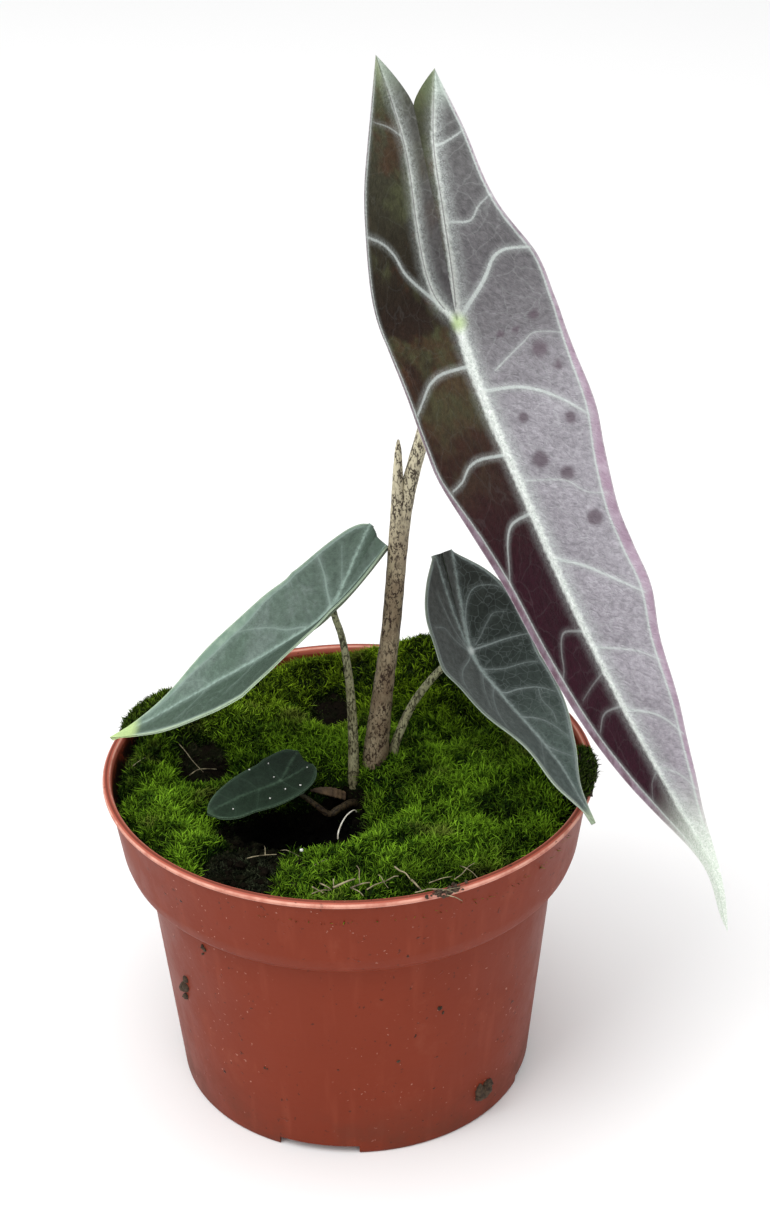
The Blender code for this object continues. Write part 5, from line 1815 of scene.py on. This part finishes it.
def make_stems(ground, material):
    """Dry twigs and threads that lie on the soil and the moss at the front."""
    random = np.random.default_rng(SEEDS["stems"])
    parts = [stem(*twig, random) for twig in TWIGS]
    middle_x, middle_y, size_x, size_y = THREAD_FIELD
    for _ in range(THREADS):
        x = middle_x + size_x * (random.random() - 0.5)
        y = middle_y + size_y * (random.random() - 0.5)
        turn, length = 2 * math.pi * random.random(), 2 + 5 * random.random()
        z = float(ground.soil(np.array([x]), np.array([y]))[0]) + 0.8
        end = (x + length * math.cos(turn), y + length * math.sin(turn), z + 0.4)
        if math.hypot(end[0], end[1]) < SOIL_RADIUS - 1:
            parts.append(stem((x, y, z), end, 0.6, 0.07 + 0.07 * random.random(), random))
    make_small("dry_stems", gather(parts), material)


def make_root(material):
    """The bare white root."""
    found = tube(smooth_curve(ROOT, 40), ROOT_RADIUS * np.linspace(0.6, 1, 40), 10)
    make_small("bare_root", found, material)


def make_perlite(material):
    """The white grain on the soil and the few specks that lie on the small leaf."""
    random = np.random.default_rng(SEEDS["grains"])
    places, radii = [PERLITE], [PERLITE_RADIUS]
    blade = Blade(LEAF_SMALL)
    for side, along, across, radius in LEAF_GRAINS:
        spot = [np.array([value]) for value in (along, across, LEAF_GRAIN_LIFT)]
        places.append(blade.place(side, *spot)[0])
        radii.append(LEAF_GRAIN_SCALE * radius)
    make_small("perlite_grain", lumps(np.array(places), radii, random, 2, 0.5), material)


def make_bract(material):
    """The papery husk at the foot of the small stalk: a thin arched sheet with frayed edges."""
    rows, columns = BRACT_GRID
    line = smooth_curve([(*place, half) for place, half in BRACT], rows)
    ahead = unit(np.gradient(line[:, :3], axis=0))
    across = unit(np.cross(ahead, (0, 0, 1)))
    up = np.cross(across, ahead)
    turn = np.linspace(-1, 1, columns)
    half = line[:, 3:4] * (1 + 0.05 * np.sin(np.arange(rows) * 1.3))[:, None]
    sheets = []
    for lift in (0.0, BRACT_THICKNESS):
        rise = half * 0.9 * (1 - turn**2) + lift
        arch = line[:, None, :3] + across[:, None] * (half * turn)[..., None]
        arch = arch + up[:, None] * rise[..., None]
        sheets.append(arch.reshape(-1, 3))
    size = len(sheets[0])
    faces = grid_faces(rows, columns, 0, True) + grid_faces(rows, columns, size, False)
    for column, flip in ((0, True), (columns - 1, False)):
        faces += wall_faces(range(rows - 1), columns, column, size, flip)
    dress(mesh_object("bract_fine", np.vstack(sheets), faces), material, "bract", "cataphyll")


# Pot

def rounded(profile, radius):
    """The same profile with each corner eased over up to the given radius."""
    found = [np.array(profile[0], float)]
    for before, corner, after in zip(profile, profile[1:], profile[2:]):
        before, corner, after = (np.array(point, float) for point in (before, corner, after))
        reach_in = min(radius, 0.45 * np.linalg.norm(before - corner))
        reach_out = min(radius, 0.45 * np.linalg.norm(after - corner))
        start = corner + unit(before - corner) * reach_in
        end = corner + unit(after - corner) * reach_out
        for t in (0, 0.33, 0.67, 1):
            found.append((1 - t) ** 2 * start + 2 * t * (1 - t) * corner + t * t * end)
    return found + [np.array(profile[-1], float)]


def revolve(profile, steps):
    """Points and faces of a profile of (radius, height) turned about Z, with both ends on the axis."""
    points = [ring(radius, height, steps) for radius, height in profile[1:-1]]
    last = (len(points) - 1) * steps
    faces = []
    for start in range(0, last, steps):
        faces += band(start, start + steps, steps)
    faces += fan(last + steps, 0, steps) + fan(last + steps + 1, last, steps, flip=True)
    points.append(np.array([(0, 0, profile[0][1]), (0, 0, profile[-1][1])]))
    return np.vstack(points), faces


def cutter(name, sides, place, reach, low, high, turn):
    """An upright prism: sides corners, half sizes reach across and along its turn."""
    angle = turns(sides) + math.pi / sides
    scale = 1 / math.cos(math.pi / sides) if sides == 4 else 1
    x, y = reach[0] * scale * np.cos(angle), reach[1] * scale * np.sin(angle)
    x, y = x * math.cos(turn) - y * math.sin(turn), x * math.sin(turn) + y * math.cos(turn)
    corners = np.stack([x + place[0], y + place[1]], 1)
    points = [(*corner, level) for level in (low, high) for corner in corners]
    faces = [tuple(reversed(range(sides))), tuple(range(sides, 2 * sides))]
    return mesh_object(name, points, faces + band(0, sides, sides, flip=True), smooth=False)


def pot_cutters():
    """The foot's notches and the drainage holes."""
    found = []
    for index in range(NOTCHES):
        turn = math.radians(NOTCH_TURN + index * 360 / NOTCHES)
        place = polar(BASE_RADIUS - 1, turn)
        reach = (NOTCH_REACH, NOTCH_WIDTH / 2)
        found.append(cutter(f"notch_{index}", 4, place, reach, -NOTCH_HEIGHT, NOTCH_HEIGHT, turn))
    for index in range(DRAIN_HOLES):
        turn = math.radians(NOTCH_TURN + (index + 0.5) * 360 / DRAIN_HOLES)
        place = polar(DRAIN_CIRCLE, turn)
        reach = (DRAIN_RADIUS, DRAIN_RADIUS)
        found.append(cutter(f"drain_{index}", 32, place, reach, *DRAIN_LEVELS, turn))
    return found


def cut(obj, cutters):
    """Cuts the cutters out of an object and removes them."""
    for other in cutters:
        boolean = obj.modifiers.new("cut", "BOOLEAN")
        boolean.operation = "DIFFERENCE"
        boolean.object = other
    bpy.context.view_layer.update()
    graph = bpy.context.evaluated_depsgraph_get()
    mesh = bpy.data.meshes.new_from_object(obj.evaluated_get(graph))
    obj.modifiers.clear()
    obj.data = mesh
    for other in cutters:
        bpy.data.objects.remove(other)
    return mesh


def make_pot(material):
    """The nursery pot with rounded corners, cut by its notches and holes."""
    profile = rounded(INNER_WALL[::-1] + OUTER_WALL, CORNER_RADIUS)
    obj = mesh_object("pot_fine", *revolve(profile, POT_STEPS))
    mesh = cut(obj, pot_cutters())
    mesh.shade_smooth()
    mesh.set_sharp_from_angle(angle=math.radians(SHARP_ANGLE))
    places = np.empty(3 * len(mesh.vertices))
    mesh.vertices.foreach_get("co", places)
    x, y, z = (places.reshape(-1, 3) / MM).T
    radius = np.hypot(x, y)
    lip = smooth_step(z, POT_HEIGHT - LIP_DEPTH - 0.1, POT_HEIGHT - LIP_DEPTH + 0.3)
    add_field(mesh, "lip", lip * (radius > RIM_RADIUS - 3))
    foot = COLLAR_LEVEL + 6.4
    middle = np.interp(z, (foot, POT_HEIGHT - 2), (RIM_RADIUS - 4.25, RIM_RADIUS - 1.8))
    add_field(mesh, "inside", (z > foot) & (radius < middle))
    mesh.materials.clear()
    dress(obj, material, "pot", "pot")


# Stage

def make_camera():
    yaw, pitch, roll = (math.radians(angle) for angle in (CAMERA_YAW, CAMERA_PITCH, CAMERA_ROLL))
    flat = math.cos(pitch)
    ahead = Vector((-math.sin(yaw) * flat, math.cos(yaw) * flat, -math.sin(pitch)))
    level = Vector((math.cos(yaw), math.sin(yaw), 0))
    above = level.cross(ahead)
    right = math.cos(roll) * level + math.sin(roll) * above
    up = -math.sin(roll) * level + math.cos(roll) * above
    data = bpy.data.cameras.new("camera")
    data.lens = FOCAL_PIXELS / PICTURE_HEIGHT * SENSOR
    data.sensor_width = SENSOR
    camera = add_object("camera", data)
    turned = Matrix((right, up, -ahead)).transposed().to_4x4()
    turned.translation = Vector(CAMERA_PLACE) * MM
    camera.matrix_world = turned
    bpy.context.scene.camera = camera


def make_light(name, place, aim, size, power):
    """A soft square light, in metres, turned to a point."""
    data = bpy.data.lights.new(name, "AREA")
    data.size = size
    data.energy = power
    light = add_object(name, data)
    light.location = place
    light.rotation_euler = (Vector(aim) - Vector(place)).to_track_quat("-Z", "Y").to_euler()


def make_floor():
    """A wide, plain white floor."""
    paint = Paint("studio_floor")
    colour = paint.blend(paint.clouds(paint.here(), 3, 2), (0.93, 0.93, 0.93), (0.95, 0.95, 0.95))
    points = [(x * FLOOR_HALF, y * FLOOR_HALF, 0) for x, y in ((-1, -1), (1, -1), (1, 1), (-1, 1))]
    floor = mesh_object("floor", points, [(0, 1, 2, 3)])
    floor.data.materials.append(paint.finish(colour, 0.9, specular=0.2))


def make_world():
    world = bpy.data.worlds.new("studio")
    world.use_nodes = True
    ground = world.node_tree.nodes["Background"]
    ground.inputs["Color"].default_value = (1, 1, 1, 1)
    ground.inputs["Strength"].default_value = WORLD_STRENGTH
    bpy.context.scene.world = world
    bpy.context.scene.view_settings.view_transform = "Standard"


def make_studio():
    make_camera()
    make_world()
    make_floor()
    for light in LIGHTS:
        make_light(*light)


# Everything

def make_blades():
    wine = under_material("underside_wine", (0.12, 0.06, 0.07), (0.17, 0.10, 0.10), (0.36, 0.36, 0.27))
    grey = under_material("underside_grey", (0.13, 0.17, 0.12), (0.18, 0.21, 0.16), (0.34, 0.40, 0.27))
    blades = (
        ("main", LEAF_MAIN, MAIN_STYLE, wine, "blade_main"),
        ("left", LEAF_LEFT, SIDE_STYLE, grey, "blade"),
        ("right", LEAF_RIGHT, RIGHT_STYLE, grey, "blade"),
        ("small", LEAF_SMALL, SMALL_STYLE, grey, "blade"),
    )
    for name, leaf, style, under, slot in blades:
        make_blade("leaf_" + name, leaf, blade_material("blade_" + name, style), under, slot)


def make_stalks():
    brown, pale, dim = (stalk_material(name, *looks) for name, looks in STALK_LOOKS)
    make_stalk("petiole_main", STALK_MAIN, brown, (128, 172), SHEATH_TIP)
    make_stalk("petiole_left", STALK_LEFT, pale, (100, 124))
    make_stalk("petiole_right", STALK_RIGHT, pale, (88, 112))
    make_stalk("petiole_small", STALK_SMALL, dim, (80, 86))
    make_bract(plain_material("husk", (0.035, 0.018, 0.008), (0.13, 0.080, 0.038), 420, 0.75))
    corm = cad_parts["corm"].data.materials
    corm.clear()
    corm.append(plain_material("rootstock", (0.07, 0.04, 0.022), (0.22, 0.13, 0.07), 300, 0.85, 0.8))


def make_ground():
    ground = Ground()
    peat = soil_material()
    make_soil(ground, peat)
    make_crumbs(ground, peat)
    mud = plain_material("dried_mud", (0.022, 0.012, 0.007), (0.085, 0.056, 0.032), 900, 0.95, 0.9)
    make_clumps(mud)
    rim = plain_material("rim_soil", (0.010, 0.006, 0.004), (0.050, 0.034, 0.020), 900, 0.95, 0.9)
    make_rim_heaps(rim)
    moss = moss_material()
    make_mat(ground, moss)
    for number in range(1, SHOOT_BATCHES + 1):
        make_shoots(ground, number, moss)
    make_rim_moss(moss)
    make_stems(ground, plain_material("dry_stem", (0.06, 0.045, 0.022), (0.38, 0.33, 0.20), 500, 0.8))
    make_root(plain_material("root", (0.50, 0.46, 0.36), (0.75, 0.72, 0.63), 700, 0.5, 0.2))
    make_perlite(plain_material("perlite", (0.75, 0.74, 0.70), (0.92, 0.92, 0.9), 900, 0.7, 0.5))


def main():
    make_studio()
    make_pot(pot_material())
    make_ground()
    make_blades()
    make_stalks()


main()
